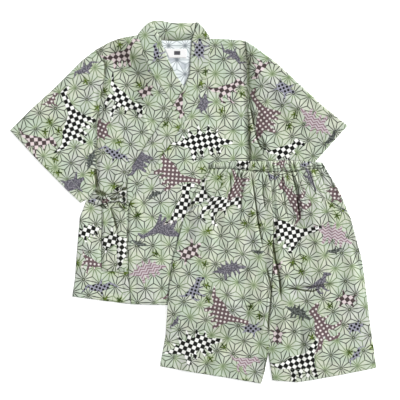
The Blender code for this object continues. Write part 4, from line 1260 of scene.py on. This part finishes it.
def stitched(name, rows, thread):
    """All stitches of one garment as one mesh. Rows: a line, the distance to its left, the cloth, stitches left out."""
    seams = bmesh.new()
    size = mathutils.Matrix.Diagonal((*STITCH, 1.0))
    for line, inset, level, skip in rows:
        beside, along = offset_line(line, inset)
        count = len(beside)
        for (x, y), (run_x, run_y) in zip(beside[skip : count - skip], along[skip : count - skip]):
            z = float(level(np.array(x), np.array(y)))
            turn = mathutils.Matrix.Rotation(math.atan2(run_y, run_x), 4, "Z")
            matrix = mathutils.Matrix.Translation((x, y, z + STITCH_SINK)) @ turn @ size
            bmesh.ops.create_icosphere(seams, subdivisions=1, radius=1.0, matrix=matrix)
    bmesh.ops.scale(seams, verts=seams.verts, vec=(MM, MM, MM))
    mesh = meshed(name, seams)
    mesh.materials.append(thread)
    piece = put(name, mesh)
    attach(piece, "root")


def thread_material(name, colour):
    material, start, shader = fabric(name)
    ply = noise(start.node("TexCoord", output=3), 1400.0)
    tone = ply.step(0.3, 0.7).blend(paint(*colour), paint(*(0.86 * part for part in colour)))
    coat(shader, tone, ply.step(0.3, 0.7, 0.6, 0.8))
    return material


sage_thread = thread_material("sage_thread", (166, 178, 158))
white_thread = thread_material("white_thread", (236, 236, 234))
jacket_rows = [
    (HEM_INNER, HEM_FOLD, right_front_height, 2),
    (HEM_OUTER, HEM_FOLD, left_front_height, 2),
    (FRONT_EDGE_LEFT, -4.0, left_front_height, 3),
    (CUFF_RIGHT, -CUFF_HEM, sleeve_right_height, 4),
    (CUFF_LEFT, CUFF_HEM, sleeve_left_height, 4),
    (BAND_SEAM_RIGHT[2:], -2.5, band_right_height, 2),
    (SEAM_LEFT, 2.5, band_left_height, 2),
    (BACK_NECK, 2.5, band_back_height, 3),
]
shorts_rows = [
    (SHORTS_HEM_RIGHT, SHORTS_HEM_FOLD, shorts_front_height, 3),
    (SHORTS_HEM_LEFT, SHORTS_HEM_FOLD, shorts_front_height, 3),
    (POCKET_MOUTH_RIGHT, -3.5, shorts_front_height, 2),
    (POCKET_MOUTH_LEFT, 3.5, shorts_front_height, 2),
    (WAIST_SEAM, 4.5, casing_front_height, 2),
]
label_rows = [
    (LABEL_FOOT, 1.6, label_height, 4),
    (LABEL_HEAD, -1.6, label_height, 4),
    ([LABEL_FOOT[1], LABEL_HEAD[1]], 1.6, label_height, 0),
]
stitched("jacket_stitches", jacket_rows, sage_thread)
stitched("shorts_stitches", shorts_rows, sage_thread)
stitched("label_stitches", label_rows, white_thread)

# Floor, lights and camera: a plain pale floor, a soft light from the upper right over an even white surround, and
# a camera that looks straight down, as the picture was taken.
KEY_STRENGTH = 3.7
KEY_SOFTNESS = 30.0
KEY_RISE = 38.0
KEY_FROM = 35.0
AMBIENT = 0.44
FLOOR_GLOW = 0.55  # the surround is lit to pure white
FLOOR_REACH = 4.0
ground = bmesh.new()
bmesh.ops.create_grid(ground, x_segments=1, y_segments=1, size=FLOOR_REACH)
floor = put("floor", meshed("floor", ground))
pale, start, shader = fabric("pale_floor")
speck = noise(start.node("TexCoord", output=3), 3.0)
coat(shader, speck.blend(paint(254, 254, 254, 1.0), paint(252, 252, 252, 1.0)), speck.step(0.0, 1.0, 0.9, 1.0))
shader.inputs["Emission Color"].default_value = paint(254, 254, 254, 1.0)
shader.inputs["Emission Strength"].default_value = FLOOR_GLOW
floor.data.materials.append(pale)

lamp = bpy.data.lights.new("key_light", "SUN")
lamp.energy, lamp.angle = KEY_STRENGTH, math.radians(KEY_SOFTNESS)
put("key_light", lamp).rotation_euler = (math.radians(90 - KEY_RISE), 0, math.radians(KEY_FROM + 90))
world = bpy.data.worlds.new("studio")
world.use_nodes = True
surround = world.node_tree.nodes["Background"]
surround.inputs["Color"].default_value, surround.inputs["Strength"].default_value = (1, 1, 1, 1), AMBIENT
bpy.context.scene.world = world
bpy.context.scene.view_settings.view_transform = "Standard"

CAMERA_HEIGHT = 3.2
PICTURE_WIDTH = 0.78
PICTURE_MIDDLE = (0.01307, 0.004)
eye = bpy.data.cameras.new("camera")
eye.sensor_width = 36.0
eye.lens = eye.sensor_width * CAMERA_HEIGHT / PICTURE_WIDTH
camera = put("camera", eye)
camera.location = (*PICTURE_MIDDLE, CAMERA_HEIGHT)
bpy.context.scene.camera = camera
